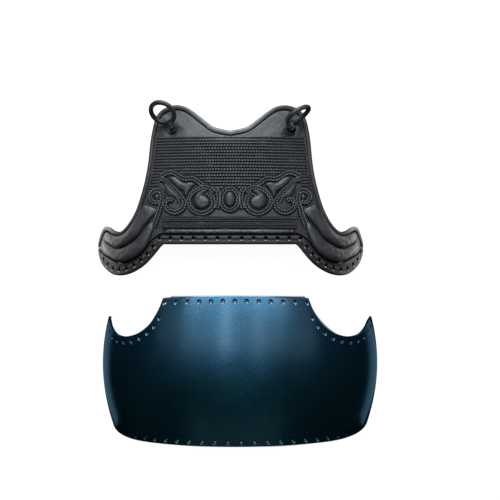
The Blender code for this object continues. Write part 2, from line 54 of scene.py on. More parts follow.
Array = np.ndarray
Colour = tuple[float, float, float]
Material = bpy.types.Material
Piece = bpy.types.Object
Socket = bpy.types.NodeSocket
Faces = list[tuple[int, ...]]

MM = 0.001
BODY = "root"
PUNCH_FOOT = -0.009
WHITE = (1.0, 1.0, 1.0)

# Flat outline of the leather, right half, in mm: s across along the leather, v up from the hem.
# name, hem s, hem v, top s, top v, width of the lacing band
STATIONS = (
    ("middle", 0, 0, 0, 181.2, 14.4),
    ("neck", 24, 0, 25.5, 187.5, 14.4),
    ("neck_rise", 42, 0, 43.2, 200.4, 14.4),
    ("neck_side", 58, 0, 60.9, 214.7, 14.4),
    ("shoulder_in", 70, 0, 74, 222.8, 14.4),
    ("shoulder_top", 82, 0, 89, 226.0, 14.4),
    ("shoulder_out", 92, 0, 103.5, 223.5, 14.4),
    ("shoulder_corner", 100, 0, 116.5, 216.5, 14.6),
    ("side_top", 105, 0, 125.5, 201.5, 15),
    ("side_high", 109, -3, 131.5, 170, 16),
    ("side", 113.5, -8, 134.6, 133, 17),
    ("side_low", 119, -14.5, 138.6, 107, 16.4),
    ("armhole_high", 126, -22, 145, 81.3, 15.8),
    ("armhole_side", 135, -30.5, 154.5, 54.5, 15.8),
    ("armhole_low", 147, -38.5, 168, 33.5, 16.2),
    ("armhole_floor", 163, -45.5, 184, 20.5, 17.2),
    ("ear_rise", 180, -49, 200, 21.5, 18.8),
    ("ear_in", 197, -48.8, 213, 27.0, 20.6),
    ("ear", 212, -44, 224.5, 28.4, 20.8),
    ("ear_out", 225, -37, 233.5, 23.0, 18.5),
    ("wing_side", 237.5, -27.0, 241.5, 12.5, 14.5),
    ("wing_round", 247.2, -14.2, 247.4, 1.5, 10.5),
    ("wing_tip", 247.8, -6.5, 247.8, -5.1, 8.0),
)

# Padded ribs of the wing, right half, from root to tip, in mm: lower edge s and v, upper edge s and v, height
RIB_UPPER = (
    (119.5, 49.0, 119.5, 54.0, 1.2), (124, 43.5, 125.5, 57.5, 3.6), (129.5, 36.5, 133, 60.5, 5.0),
    (135, 30.2, 140.3, 61.8, 5.6), (141.5, 22.4, 144.7, 56.6, 6.0), (149, 12.4, 151.0, 44.5, 6.4),
    (157.5, 6.2, 157.9, 33.5, 6.4), (166, 1.2, 165.7, 24.2, 6.2), (175, -3.0, 175.3, 16.5, 6.0),
    (184.5, -5.4, 185.8, 12.6, 5.8), (194, -5.4, 196.5, 12.6, 5.4), (204.5, -2.0, 207, 15.0, 5.0),
    (217, 2.8, 218.5, 18.4, 3.8), (228.5, 8.6, 228.3, 15.4, 1.5),
)
RIB_LOWER = (
    (121.5, 27.5, 123.5, 33.2, 1.5), (124.2, 18.5, 129.5, 31.0, 3.4), (127.8, 7.0, 136.5, 26.4, 4.8),
    (133.9, -4.6, 143, 18.4, 5.8), (141.4, -13.0, 150.5, 8.8, 6.2), (149.2, -18.7, 158.4, 3.2, 6.4),
    (159.1, -23.9, 166.8, -1.6, 6.4), (169.6, -27.2, 175.8, -5.6, 6.4), (180.6, -28.4, 185, -8.0, 6.2),
    (189.9, -27.0, 194, -8.0, 6.0), (200.1, -23.6, 204.5, -4.8, 5.6), (210.2, -19.2, 216.6, 0.2, 4.8),
    (220.6, -14.0, 226.2, 5.0, 3.4), (228.8, -7.0, 232.2, 3.6, 1.4),
)

# Padded shapes beside the egg, right half, in mm: name, rise, width of the rounded edge, outline s and v
PADDED_SHAPES = (
    ("comma_boss", 4.6, 7.5, (
        (41.6, 76.0), (38.6, 74.4), (35.0, 72.0), (31.8, 68.2), (31.0, 63.5), (34.0, 58.1), (39.4, 54.6),
        (46.4, 53.9), (53.4, 56.7), (57.4, 62.1), (58.3, 68.4), (56.8, 73.8), (53.6, 78.5), (49.2, 81.9),
        (45.6, 84.6), (41.0, 86.0), (37.0, 85.6), (35.2, 82.8), (37.0, 80.4), (39.8, 78.6),
    )),
    ("leaf_crest", 4.4, 6.0, (
        (54.0, 93.0), (58.7, 88.7), (62.5, 83.3), (65.6, 77.8), (68.7, 72.4), (71.9, 74.7), (74.4, 80.2),
        (77.6, 83.8), (82.2, 85.4), (87.2, 88.8), (92.8, 94.4), (98.0, 99.4), (101.0, 102.8), (99.3, 105.3),
        (94.4, 107.0), (88.7, 106.7), (84.4, 104.7), (79.6, 101.2), (75.3, 98.0), (70.7, 96.6), (64.4, 97.6),
        (59.6, 96.9),
    )),
    ("curl", 1.9, 6.5, (
        (106.6, 97.4), (99.4, 94.0), (93.8, 89.2), (88.4, 83.8), (83.4, 78.4), (79.6, 72.0), (78.2, 66.0),
        (80.4, 62.6), (83.2, 64.4), (84.6, 69.0), (87.4, 72.4), (91.6, 73.8), (96.4, 74.6), (100.6, 77.6),
        (103.8, 83.4), (105.8, 90.6),
    )),
    ("small_curl", 3.4, 4.0, (
        (113.4, 73.0), (114.6, 70.2), (117.4, 68.9), (120.4, 69.5), (122.3, 71.8), (122.6, 74.8), (121.0, 77.8),
        (118.2, 79.2), (115.2, 78.4), (113.6, 76.0),
    )),
)

# Middle lines of the double cords that edge the ornament, right half, in mm: s, v
COMMA_CORD = (
    (34.8, 80.2), (28.8, 73.7), (25.7, 66.6), (25.6, 59.6), (30.1, 52.7), (37.8, 48.1), (45.5, 47.3), (54.1, 50.5),
    (60.5, 55.9), (63.7, 62.9), (63.9, 70.7), (60.8, 77.0), (56.2, 81.6), (50.7, 84.7), (44.5, 87.8), (38.4, 88.8),
    (31.5, 86.4), (24.5, 80.6),
)
CREST_CORD = (
    (40.7, 91.4), (46.2, 94.6), (51.7, 98.4), (56.5, 101.9), (62.9, 102.8), (69.2, 101.9), (75.7, 103.6),
    (81.4, 106.8), (86.3, 110.3), (92.0, 112.9), (98.7, 112.7), (106.1, 110.0), (111.8, 107.0),
)
CURL_CORD = (
    (112.5, 102.4), (105.8, 101.3), (99.9, 98.0), (94.9, 92.3), (89.0, 87.5), (84.1, 82.7), (79.9, 78.0), (75.0, 71.6),
    (71.7, 66.9), (71.6, 60.7), (74.7, 54.5), (81.8, 49.9), (89.0, 49.1), (96.4, 52.3), (101.0, 57.2), (102.4, 63.0),
    (99.4, 68.2), (94.2, 69.8), (89.8, 67.2),
)
SMALL_CURL_CORD = (
    (110.6, 80.4), (113.4, 83.6), (118.6, 84.4), (124.0, 82.2), (127.6, 77.4), (127.6, 71.0), (123.8, 66.4),
    (118.0, 65.0), (113.4, 67.2),
)
SIDE_CORD = ((110.3, 82.5), (108.4, 75.2), (108.3, 68.9), (109.7, 61.1), (112.1, 54.8), (113.9, 46.5), (117.6, 37.0),
             (121.8, 26.5))
INNER_CORD = ((22.6, 87.0), (19.4, 82.8), (17.6, 76.0), (17.2, 68.0), (18.6, 60.5), (20.4, 54.5))
# Half width and half height of the ring round the egg, in mm
EGG_CORD_HALF = (13.4, 16.8)

# Straight cords of the braids across the front, in mm: braid, v, half length, radius
CROSS_CORDS = (
    ("upper_braid", 35.8, 107.6, 1.75),
    ("upper_braid", 39.3, 108.0, 1.75),
    ("lower_braid", 25.6, 106.3, 1.60),
    ("lower_braid", 28.8, 106.9, 1.60),
)
# The two pipings, in mm: v, half length, radius
PIPINGS = ((42.9, 108.4, 0.50), (32.0, 107.0, 0.75))
# v, half length, width and height of the ridge, in mm
RIDGE_ROLL = (18.9, 104.5, 7.4, 3.2)

# Lower edge of the stitched field, in mm: s, v. Under it the ornament has plain leather.
FIELD_FLOOR = (
    (0, 88.8), (12, 86.5), (16, 81.0), (22, 81.0), (27, 86.5), (33, 93.0), (40, 96.0), (46, 99.2), (51, 103.0),
    (56, 106.5), (63, 107.5), (70, 106.6), (76, 108.5), (81, 111.5), (86, 115.0), (92, 117.5), (99, 117.0),
    (106, 114.5), (112.5, 111.0), (113.5, 96.0), (115, 90.0), (120, 89.0), (127, 86.0), (131, 78.0), (150, 76.0),
)

# Shoulder loops: name, middle x and y from the hem's middle and z in mm, turn of the long axis and tilt in degrees,
# hole s and v in mm, angle on the ring where the stem leaves it
LOOPS = (
    ("left", -108.5, 210.3, 37.0, -24.5, 47.0, -94.5, 184.5, -25.0),
    ("right", 108.3, 206.9, 38.0, 32.0, 75.0, 99.0, 184.0, 180.0),
)
# Raised welts of leather beside the loop holes, in mm: s, v, width
WELTS = (
    ((-109.0, 193.5, 1.0), (-106.8, 188.0, 2.2), (-102.6, 181.8, 2.8), (-98.0, 177.0, 2.4), (-95.0, 172.4, 1.0)),
    ((86.0, 189.0, 1.0), (87.8, 184.2, 2.2), (92.8, 179.6, 2.8), (98.6, 177.6, 2.6), (104.4, 179.4, 1.0)),
)

# Armhole of the shell from the top corner to the horn's tip: angle round it in degrees, mm below the top edge
SCOOP = (
    (33.0, 5.1), (34.4, 23.6), (37.6, 44.1), (42.6, 57.6), (48.0, 63.9),
    (53.5, 65.6), (60.5, 62.9), (68.0, 54.1), (76.0, 43.6), (86.0, 39.6),
)


class Slot(str, Enum):
    """Material slots of the record."""

    LACQUER = "lacquer"
    LEATHER = "leather"
    TRIM = "trim_leather"
    BRAID = "braid"
    LOOP = "loop_leather"


class Side(Enum):
    """The two halves of the breastplate."""

    LEFT = -1
    RIGHT = 1

    @property
    def word(self) -> str:
        """The side's name, as the solids use it."""
        return self.name.lower()


# Shader sheets


class Level:
    """A number that changes over a surface. Its operators add Math nodes."""

    def __init__(self, sheet: "NodeSheet", socket: Socket) -> None:
        """Wraps an output socket of the sheet."""
        self.sheet = sheet
        self.socket = socket

    def __add__(self, other: "Level | float") -> "Level":
        """The sum."""
        return self.sheet.maths("ADD", self, other)

    __radd__ = __add__

    def __sub__(self, other: "Level | float") -> "Level":
        """The difference."""
        return self.sheet.maths("SUBTRACT", self, other)

    def __rsub__(self, other: float) -> "Level":
        """The difference from a number."""
        return self.sheet.maths("SUBTRACT", other, self)

    def __mul__(self, other: "Level | float") -> "Level":
        """The product."""
        return self.sheet.maths("MULTIPLY", self, other)

    __rmul__ = __mul__

    def between(self, low: float, high: float) -> "Level":
        """A smooth step from 0 at low to 1 at high."""
        sockets = {"Value": self, "From Min": low, "From Max": high}
        step = self.sheet.node("ShaderNodeMapRange", {"interpolation_type": "SMOOTHSTEP"}, sockets)
        return Level(self.sheet, step.outputs["Result"])


class NodeSheet:
    """A material under construction, with one Principled shader."""

    def __init__(self, name: str) -> None:
        """Starts a material.

        Args:
            name: The material's name.
        """
        self.material = bpy.data.materials.new(name)
        self.material.use_nodes = True
        self.tree = self.material.node_tree
        self.shader = self.tree.nodes["Principled BSDF"]
        coordinates = self.node("ShaderNodeTexCoord", {}, {})
        self.place = coordinates.outputs["Object"]
        self.uv = coordinates.outputs["UV"]

    def join(self, socket: Socket, value: object) -> None:
        """Sets a socket, or links it.

        Args:
            socket: An input.
            value: A number or colour to set, or a level or socket to link.
        """
        if isinstance(value, Level):
            value = value.socket
        if isinstance(value, Socket):
            self.tree.links.new(value, socket)
        else:
            socket.default_value = value

    def node(self, kind: str, settings: dict, sockets: dict) -> bpy.types.Node:
        """Adds any node.

        Args:
            kind: The node's type.
            settings: Its settings, such as an operation. They are set first.
            sockets: Values or links of its inputs, by name or place.

        Returns:
            The node.
        """
        made = self.tree.nodes.new(kind)
        for key, value in settings.items():
            setattr(made, key, value)
        for key, value in sockets.items():
            self.join(made.inputs[key], value)
        return made

    def maths(self, operation: str, *values: "Level | float") -> Level:
        """A Math node on levels and numbers."""
        made = self.node("ShaderNodeMath", {"operation": operation}, dict(enumerate(values)))
        return Level(self, made.outputs[0])

    def noise(self, scale: float, detail: float = 2.0, place: Socket | None = None) -> Level:
        """Soft noise, 0 to 1, with that many lumps to a metre."""
        made = self.node("ShaderNodeTexNoise", {}, {"Vector": place or self.place, "Scale": scale, "Detail": detail})
        return Level(self, made.outputs["Fac"])

    def pebbles(self, scale: float) -> Level:
        """Rounded cells, high in the middle, with that many to a metre."""
        made = self.node("ShaderNodeTexVoronoi", {"feature": "F1"}, {"Vector": self.place, "Scale": scale})
        return 1.0 - Level(self, made.outputs["Distance"])

    def marked(self, name: str) -> Level:
        """A mesh mark, 0 to 1: wear and painted highlight, or painted shade in grooves and under things."""
        made = self.node("ShaderNodeAttribute", {"attribute_name": name}, {})
        return Level(self, made.outputs["Fac"])

    def stretched(self, along: float, round_it: float, turn: float) -> Socket:
        """The piece's own UV map, scaled and turned, for fibres and grain that follow it."""
        sockets = {"Vector": self.uv, "Scale": (along, round_it, 1.0), "Rotation": (0.0, 0.0, turn)}
        return self.node("ShaderNodeMapping", {}, sockets).outputs["Vector"]

    def axis(self, index: int) -> Level:
        """One object coordinate, in metres."""
        return Level(self, self.node("ShaderNodeSeparateXYZ", {}, {0: self.place}).outputs[index])

    def mix(self, share: Level, *colours: "Colour | Socket") -> Socket:
        """A colour between two.

        Args:
            share: The second one's share.
            *colours: The two, each a colour or an earlier mix.

        Returns:
            The mix.
        """
        ends = [c if isinstance(c, Socket) else (*c, 1.0) for c in colours]
        made = self.node("ShaderNodeMix", {"data_type": "RGBA"}, {0: share, 6: ends[0], 7: ends[1]})
        return made.outputs[2]

    def bump(self, height: Level, distance: float) -> Socket:
        """A normal from a height, whose full range is that distance."""
        return self.node("ShaderNodeBump", {}, {"Height": height, "Distance": distance}).outputs["Normal"]

    def dress(self, **sockets: object) -> Material:
        """Sets the shader's sockets.

        Args:
            **sockets: Their values, with _ for a space in their names.

        Returns:
            The finished material.
        """
        for key, value in sockets.items():
            self.join(self.shader.inputs[key.replace("_", " ")], value)
        return self.material


# Finishes


@dataclass(frozen=True)
class LeatherFinish:
    """Dyed leather: pebbled grain, cloudy dye, wear with painted highlight, dull black painted shade in grooves."""

    name: str
    dark: Colour
    light: Colour
    polish_and_highlight: Colour
    roughness: float
    grain: float = 850.0
    grain_depth: float = 0.00035
    crease_depth: float = 0.0006
    coat: float = 0.20
    coat_roughness: float = 0.30
    # Where the painted shade passes this share, the leather turns metallic, and darker still.
    metal: float = 0.93
    shine: float = 0.5
    # Painted shade: the colour in grooves and under things.
    groove: Colour = (0.0010, 0.0012, 0.0015)

    def build(self) -> Material:
        """Makes the material.

        Returns:
            The material.
        """
        sheet = NodeSheet(self.name)
        cloud = sheet.noise(18.0, 3.0)
        mottle = sheet.noise(160.0, 3.0)
        grain = sheet.pebbles(self.grain)
        fine = sheet.noise(self.grain * 2.4)
        worn, deep = sheet.marked("worn"), sheet.marked("deep")
        dye = (0.5 * cloud + 0.5 * mottle).between(0.38, 0.62)
        # Lighter where marked for wear and painted highlight, then dull black where marked for painted shade.
        polished_and_lit = sheet.mix((worn * (0.6 + 0.6 * mottle)).between(0.25, 1.0),
                             sheet.mix(dye, self.dark, self.light), self.polish_and_highlight)
        shaded = sheet.mix(deep.between(0.0, 1.0), polished_and_lit, self.groove)
        roughness = self.roughness + 0.16 * (mottle - 0.5) - 0.10 * worn + 0.06 * (1.0 - grain) + 0.55 * deep
        height = 0.55 * grain + 0.2 * fine + (self.crease_depth / self.grain_depth) * mottle
        return sheet.dress(
            Base_Color=shaded,
            Metallic=deep.between(self.metal, 1.0),
            Roughness=roughness,
            Normal=sheet.bump(height, self.grain_depth),
            Coat_Weight=self.coat * (1.0 - deep.between(0.0, 0.5)),
            Coat_Roughness=self.coat_roughness,
            Specular_IOR_Level=self.shine,
        )


@dataclass(frozen=True)
class CordFinish:
    """Waxed cotton cord: fine fibres that follow each strand."""

    name: str
    dark: Colour
    light: Colour
    roughness: float
    fibres: float = 9.0
    shine: float = 0.5

    def build(self) -> Material:
        """Makes the material.

        Returns:
            The material.
        """
        sheet = NodeSheet(self.name)
        fibres = sheet.noise(1.0, 3.0, sheet.stretched(1.2, self.fibres, 0.5))
        fuzz = sheet.noise(2600.0)
        cloud = sheet.noise(60.0)
        worn, deep = sheet.marked("worn"), sheet.marked("deep")
        # Lighter on the marked tops of strands and beads, a painted highlight; darker where marked deep, a painted
        # shade.
        share = (0.35 * fibres + 0.2 * cloud + 0.75 * worn - 0.6 * deep).between(0.30, 1.10)
        return sheet.dress(
            Base_Color=sheet.mix(share, self.dark, self.light),
            Roughness=self.roughness + 0.15 * (fibres - 0.5) - 0.08 * worn + 0.45 * deep,
            Normal=sheet.bump(0.7 * fibres + 0.3 * fuzz, 0.0003),
            Specular_IOR_Level=self.shine,
        )


@dataclass(frozen=True)
class LacquerFinish:
    """Coloured lacquer over a metallic ground, with a faint orange peel, dull clouds and painted shade near its foot.
    """

    name: str
    deep: Colour
    bright: Colour
    roughness: float
    metallic: float
    foot_shade_front: float = -0.190
    foot_shade_back: float = -0.125
    foot_shade_shares: Colour = (0.50, 0.92, 0.76)
    relief: float = 0.00026
    coat: float = 0.85
    coat_roughness: float = 0.20

    def build(self) -> Material:
        """Makes the material.

        Returns:
            The material.
        """
        sheet = NodeSheet(self.name)
        peel = sheet.noise(520.0)
        swell = sheet.noise(70.0)
        cloud = sheet.noise(11.0, 4.0)
        flakes = sheet.pebbles(620.0)
        tone = (0.55 * cloud + 0.25 * flakes + 0.2 * peel).between(0.30, 0.72)
        body = sheet.mix(tone, self.deep, self.bright)
        foot = sheet.mix(tone, self.foot_shade_colour(self.deep), self.foot_shade_colour(self.bright))
        return sheet.dress(
            # Darker and greener towards the lower edge: painted shade.
            Base_Color=sheet.mix(sheet.axis(1).between(self.foot_shade_front, self.foot_shade_back), foot, body),
            Metallic=self.metallic,
            Roughness=self.roughness + 0.10 * (cloud - 0.5) + 0.14 * (peel - 0.5),
            Normal=sheet.bump(0.75 * peel + 0.30 * swell, self.relief),
            Coat_Weight=self.coat,
            Coat_Roughness=self.coat_roughness,
        )

    def foot_shade_colour(self, colour: Colour) -> Colour:
        """The colour near the shell's lower edge, greener and darker: a painted shade."""
        return tuple(part * share for part, share in zip(colour, self.foot_shade_shares))


@dataclass(frozen=True)
class BaseFinish:
    """Bare base of the shell: pressed fibre with faint flow lines, satin."""

    name: str
    dark: Colour
    light: Colour
    roughness: float
    relief: float

    def build(self) -> Material:
        """Makes the material.

        Returns:
            The material.
        """
        sheet = NodeSheet(self.name)
        stretch = sheet.node("ShaderNodeMapping", {}, {"Vector": sheet.place, "Scale": (1.0, 7.0, 1.0)})
        flow = sheet.noise(40.0, 4.0, stretch.outputs["Vector"])
        speck = sheet.noise(900.0)
        colour = sheet.mix((0.75 * flow + 0.25 * speck).between(0.35, 0.68), self.dark, self.light)
        return sheet.dress(
            Base_Color=colour,
            Roughness=self.roughness + 0.15 * (speck - 0.5),
            Normal=sheet.bump(0.5 * flow + 0.5 * speck, self.relief),
        )


@dataclass(frozen=True)
class PaperFinish:
    """The plain pale surface that the object lies on. It glows evenly, so that shadows on it stay soft.

    Under the shell it glows less, a painted shadow: between two side lines, behind a front that bends and before a back
    whose ends curve away along the armholes.
    """

    name: str
    colour: Colour
    glow: float = 0.93
    shaded_half: float = 0.203
    shaded_front: float = -0.2965
    shaded_back: float = -0.0465
    scoop_from: float = 0.109
    scoop_depth: float = 0.0715
    scoop_power: float = 2.4
    front_bend: float = 33.6
    front_power: float = 4.0
    side_fade: float = 0.008
    back_fade: float = 0.004
    front_fade: float = 0.0045
    shade_colour: Colour = (0.045, 0.075, 0.105)

    def build(self) -> Material:
        """Makes the material.

        Returns:
            The material.
        """
        sheet = NodeSheet(self.name)
        tooth = sheet.noise(700.0)
        tone = sheet.mix(tooth, tuple(0.985 * c for c in self.colour), self.colour)
        away, y = sheet.maths("ABSOLUTE", sheet.axis(0)), sheet.axis(1)
        beyond = sheet.maths("MAXIMUM", away - self.scoop_from, 0.0)
        left_over = sheet.maths("MAXIMUM", 1.0 - (1.0 / (self.shaded_half - self.scoop_from)) * beyond, 0.0)
        curve = sheet.maths("POWER", left_over, self.scoop_power)
        back = self.scoop_depth * curve + (self.shaded_back - self.scoop_depth)
        front = self.front_bend * sheet.maths("POWER", away, self.front_power) + self.shaded_front
        across = 1.0 - away.between(self.shaded_half - self.side_fade, self.shaded_half)
        # Painted shadow under the shell: the floor's glow turns to its shade colour there.
        under = across * (1.0 - (y - back).between(-self.back_fade, 0.0)) * (y - front).between(0.0, self.front_fade)
        return sheet.dress(
            Base_Color=tone,
            Roughness=0.9,
            Normal=sheet.bump(tooth, 0.00005),
            Emission_Color=sheet.mix(under, WHITE, self.shade_colour),
            Emission_Strength=self.glow,
        )


# Each leather's third colour goes where the mesh marks wear and painted highlight.
PANEL_LEATHER = LeatherFinish(
    "panel_leather", (0.0050, 0.0056, 0.0064), (0.0095, 0.0105, 0.0118), (0.060, 0.062, 0.062), 0.34)
FIELD_LEATHER = LeatherFinish(
    "field_leather", (0.0055, 0.0062, 0.0070), (0.0095, 0.0108, 0.0118), (0.110, 0.116, 0.126), 0.38, coat=0.0,
    shine=0.32)
TRIM_LEATHER = LeatherFinish(
    "trim_leather_worn", (0.0055, 0.0062, 0.0068), (0.0100, 0.0110, 0.0118), (0.150, 0.151, 0.148), 0.38)
PAD_LEATHER = LeatherFinish(
    "pad_leather", (0.0055, 0.0062, 0.0070), (0.0100, 0.0112, 0.0124), (0.021, 0.023, 0.025), 0.34, coat=0.06,
    shine=0.45)
LOOP_LEATHER = LeatherFinish(
    "loop_leather_worn", (0.005, 0.0055, 0.006), (0.010, 0.011, 0.012), (0.040, 0.042, 0.043), 0.36)
BAND_LEATHER = LeatherFinish(
    "band_leather", (0.006, 0.0062, 0.0066), (0.011, 0.0113, 0.0116), (0.050, 0.050, 0.050), 0.44, coat=0.0,
    shine=0.30)
CORD_COTTON = CordFinish("ornament_cord", (0.0012, 0.0014, 0.0018), (0.080, 0.087, 0.095), 0.42)
# Black collars in the lacing slots: painted shade.
SLOT_SHADE = CordFinish("slot_shade", (0.0010, 0.0011, 0.0013), (0.006, 0.006, 0.007), 0.8, shine=0.08)
# Pale beads under the lacing slots: painted glints.
LIP_GLINT = CordFinish("lip_glint", (0.09, 0.09, 0.088), (0.40, 0.40, 0.39), 0.5)
BRAID_COTTON = CordFinish("braid_cord", (0.0012, 0.0014, 0.0018), (0.025, 0.0275, 0.0305), 0.50)
STITCH_THREAD = CordFinish("stitch_thread", (0.016, 0.017, 0.019), (0.175, 0.188, 0.202), 0.27)
SHELL_LACQUER = LacquerFinish("teal_lacquer", (0.007, 0.072, 0.126), (0.016, 0.112, 0.192), 0.25, 0.94)
# Rounded edges and countersinks: partly a paler chamfer, partly a painted highlight.
SHELL_EDGE = LacquerFinish("teal_lacquer_edge", (0.120, 0.195, 0.240), (0.220, 0.310, 0.360), 0.42, 0.45)
SHELL_BASE = BaseFinish("shell_base", (0.070, 0.034, 0.018), (0.130, 0.068, 0.036), 0.48, 0.0002)
SHELL_CUT = BaseFinish("shell_cut_edge", (0.045, 0.016, 0.010), (0.110, 0.034, 0.020), 0.42, 0.0001)
FLOOR_PAPER = PaperFinish("studio_paper", (0.16, 0.16, 0.16))


# Curves and meshes


def spline(rows: Sequence[Sequence[float]], steps: int, closed: bool = False) -> Array:
    """Points on a smooth curve through rows.

    Args:
        rows: Points of any width.
        steps: Steps between two rows.
        closed: Whether the curve returns to its first row.

    Returns:
        The points, one to a line. A closed curve doesn't repeat its first point.
    """
    given = np.array(rows, float)
    if closed:
        padded = np.vstack([given[-1:], given, given[:2]])
    else:
        padded = np.vstack([2 * given[0] - given[1], given, 2 * given[-1] - given[-2]])
    made = []
    for a, b, c, d in zip(padded, padded[1:], padded[2:], padded[3:]):
        for t in np.arange(steps) / steps:
            made.append(0.5 * (2 * b + (c - a) * t + (2 * a - 5 * b + 4 * c - d) * t**2
                               + (3 * b - a - 3 * c + d) * t**3))
    if not closed:
        made.append(given[-1])
    return np.array(made)


def unit(values: Array) -> Array:
    """Values held between 0 and 1."""
    return np.clip(values, 0.0, 1.0)


def circle(count: int) -> Array:
    """Angles that share out a whole turn, in radians."""
    return 2 * math.pi * np.arange(count) / count


def unit_rows(rows: Array) -> Array:
    """Rows scaled to length 1."""
    return rows / np.linalg.norm(rows, axis=1, keepdims=True)


def ways_along(path: Array) -> Array:
    """Length of a flat path from its start to each of its points."""
    return np.concatenate([[0.0], np.cumsum(np.linalg.norm(np.diff(path[:, :2], axis=0), axis=1))])


def leftwards(path: Array, closed: bool) -> Array:
    """Unit directions to the left of a flat path."""
    along = directions(path, closed)
    return np.stack([-along[:, 1], along[:, 0]], axis=1)


def directions(path: Array, closed: bool = False) -> Array:
    """Unit directions along a flat path, by central differences."""
    flat = path[:, :2]
    return unit_rows(np.roll(flat, -1, 0) - np.roll(flat, 1, 0) if closed else np.gradient(flat, axis=0))


def inset(path: Array, distances: Array | float, closed: bool = False) -> Array:
    """A flat path moved to its left by a distance for each point."""
    return path[:, :2] + leftwards(path, closed) * np.broadcast_to(distances, len(path))[:, None]


def swept(path: Array, aside: Array, rise: Array, closed: bool = False) -> Array:
    """Rings of points along a flat path.

    Args:
        path: s and v along it.
        aside: How far to its left each point of each ring lies.
        rise: Height of each of those points.
        closed: Whether the path is a ring.

    Returns:
        The rings, one to a point of the path.
    """
    flat = path[:, None, :2] + leftwards(path, closed)[:, None, :] * aside[..., None]
    return np.concatenate([flat, rise[..., None]], axis=2)


def resampled(path: Array, spacing: float, closed: bool = False) -> Array:
    """Lays points at about equal spacing along a path's first two columns.

    Args:
        path: The path, with any columns.
        spacing: The wanted spacing.
        closed: Whether it returns to its first point.

    Returns:
        The new points. A closed path doesn't repeat its first point.
    """
    whole = np.vstack([path, path[:1]]) if closed else path
    ways = ways_along(whole)
    wanted = np.linspace(0.0, ways[-1], max(int(round(ways[-1] / spacing)), 3) + 1)
    made = np.stack([np.interp(wanted, ways, column) for column in whole.T], axis=1)
    return made[:-1] if closed else made


def lattice(rows: int, columns: int, wrap_rows: bool = False, wrap_columns: bool = False) -> Faces:
    """Quads between points laid in rows one after another.

    Args:
        rows: Number of rows.
        columns: Points in a row.
        wrap_rows: Whether the last row joins the first.
        wrap_columns: Whether a row's end joins its start.

    Returns:
        The faces.
    """
    sides = [(j, (j + 1) % columns) for j in range(columns if wrap_columns else columns - 1)]
    ends = [(i * columns, (i + 1) % rows * columns) for i in range(rows if wrap_rows else rows - 1)]
    return [(i + j, i + n, k + n, k + j) for i, k in ends for j, n in sides]


class Layout:
    """Points in s, v and h, or in world space, with faces, wear and painted highlight, painted shade and UV."""

    def __init__(self) -> None:
        """Starts with nothing on it."""
        self.points: list[Array] = []
        self.worn: list[Array] = []
        self.deep: list[Array] = []
        self.uv: list[Array] = []
        self.faces: Faces = []
        self.count = 0

    def add(self, points: Array, faces: Faces, worn: Array | float = 0.0, deep: Array | float = 0.0,
            uv: Array | None = None) -> "Layout":
        """Adds a shape.

        Args:
            points: Its points, three numbers each.
            faces: Its faces, counted from its own first point.
            worn: How much each point shows wear and a painted highlight, 0 to 1.
            deep: How much painted shade each point takes, in grooves and under things, 0 to 1.
            uv: A place on its own pattern for each point.

        Returns:
            The layout itself.
        """
        points = np.asarray(points, float).reshape(-1, 3)
        self.points.append(points)
        for kept, given in ((self.worn, worn), (self.deep, deep)):
            kept.append(unit(np.broadcast_to(np.ravel(given) if np.ndim(given) else given, len(points))))
        self.uv.append(points[:, :2] * 100.0 if uv is None else np.asarray(uv, float).reshape(-1, 2))
        self.faces += [tuple(k + self.count for k in face) for face in faces]
        self.count += len(points)
        return self

    def tube(self, layers: Array, worn: Array | float = 0.0, deep: Array | float = 0.0, closed: bool = False
             ) -> "Layout":
        """Adds a tube, capped unless it is closed.

        Args:
            layers: Its rings of points.
            worn: How much each point shows wear and a painted highlight.
            deep: How much painted shade each point takes.
            closed: Whether the last ring joins the first.

        Returns:
            The layout itself.
        """
        rows, columns = layers.shape[:2]
        faces = lattice(rows, columns, wrap_rows=closed, wrap_columns=True)
        if not closed:
            faces += [tuple(range(columns)), tuple((rows - 1) * columns + j for j in range(columns))]
        along = np.repeat(np.arange(rows) * 0.25, columns)
        around = np.tile(np.arange(columns) / columns, rows)
        return self.add(layers, faces, worn, deep, np.stack([along, around], axis=1))

    def mesh(self, name: str, form: Callable[[Array], Array] | None, angle: float = 60.0) -> Piece:
        """Makes one object of the layout, faces outwards.

        Args:
            name: The piece's name.
            form: What bends the points into place, or None where they are in place.
            angle: Edges sharper than this many degrees stay sharp.

        Returns:
            The object, at the origin.
        """
        points = np.concatenate(self.points)
        placed = points if form is None else form(points)
        mesh = bpy.data.meshes.new(name)
        mesh.from_pydata(placed.tolist(), [], self.faces)
        for mark, values in (("worn", self.worn), ("deep", self.deep)):
            carried = mesh.attributes.new(mark, "FLOAT", "POINT")
            carried.data.foreach_set("value", np.concatenate(values).astype(np.float32))
        corners = np.empty(len(mesh.loops), np.int32)
        mesh.loops.foreach_get("vertex_index", corners)
        sheet = mesh.uv_layers.new(name="UVMap")
        sheet.data.foreach_set("uv", np.concatenate(self.uv)[corners].astype(np.float32).ravel())
        turned = bmesh.new()
        turned.from_mesh(mesh)
        bmesh.ops.recalc_face_normals(turned, faces=turned.faces)
        turned.to_mesh(mesh)
        turned.free()
        mesh.shade_smooth()
        mesh.set_sharp_from_angle(angle=math.radians(angle))
        made = bpy.data.objects.new(name, mesh)
        bpy.context.scene.collection.objects.link(made)
        return made


def only(obj: Piece) -> None:
    """Selects one object and nothing else.

    Args:
        obj: The object.
    """
    bpy.ops.object.select_all(action="DESELECT")
    obj.select_set(True)
    bpy.context.view_layer.objects.active = obj


def apply_modifiers(obj: Piece) -> None:
    """Applies every modifier of the object, in order.

    Args:
        obj: The object.
    """
    only(obj)
    for name in [modifier.name for modifier in obj.modifiers]:
        bpy.ops.object.modifier_apply(modifier=name)


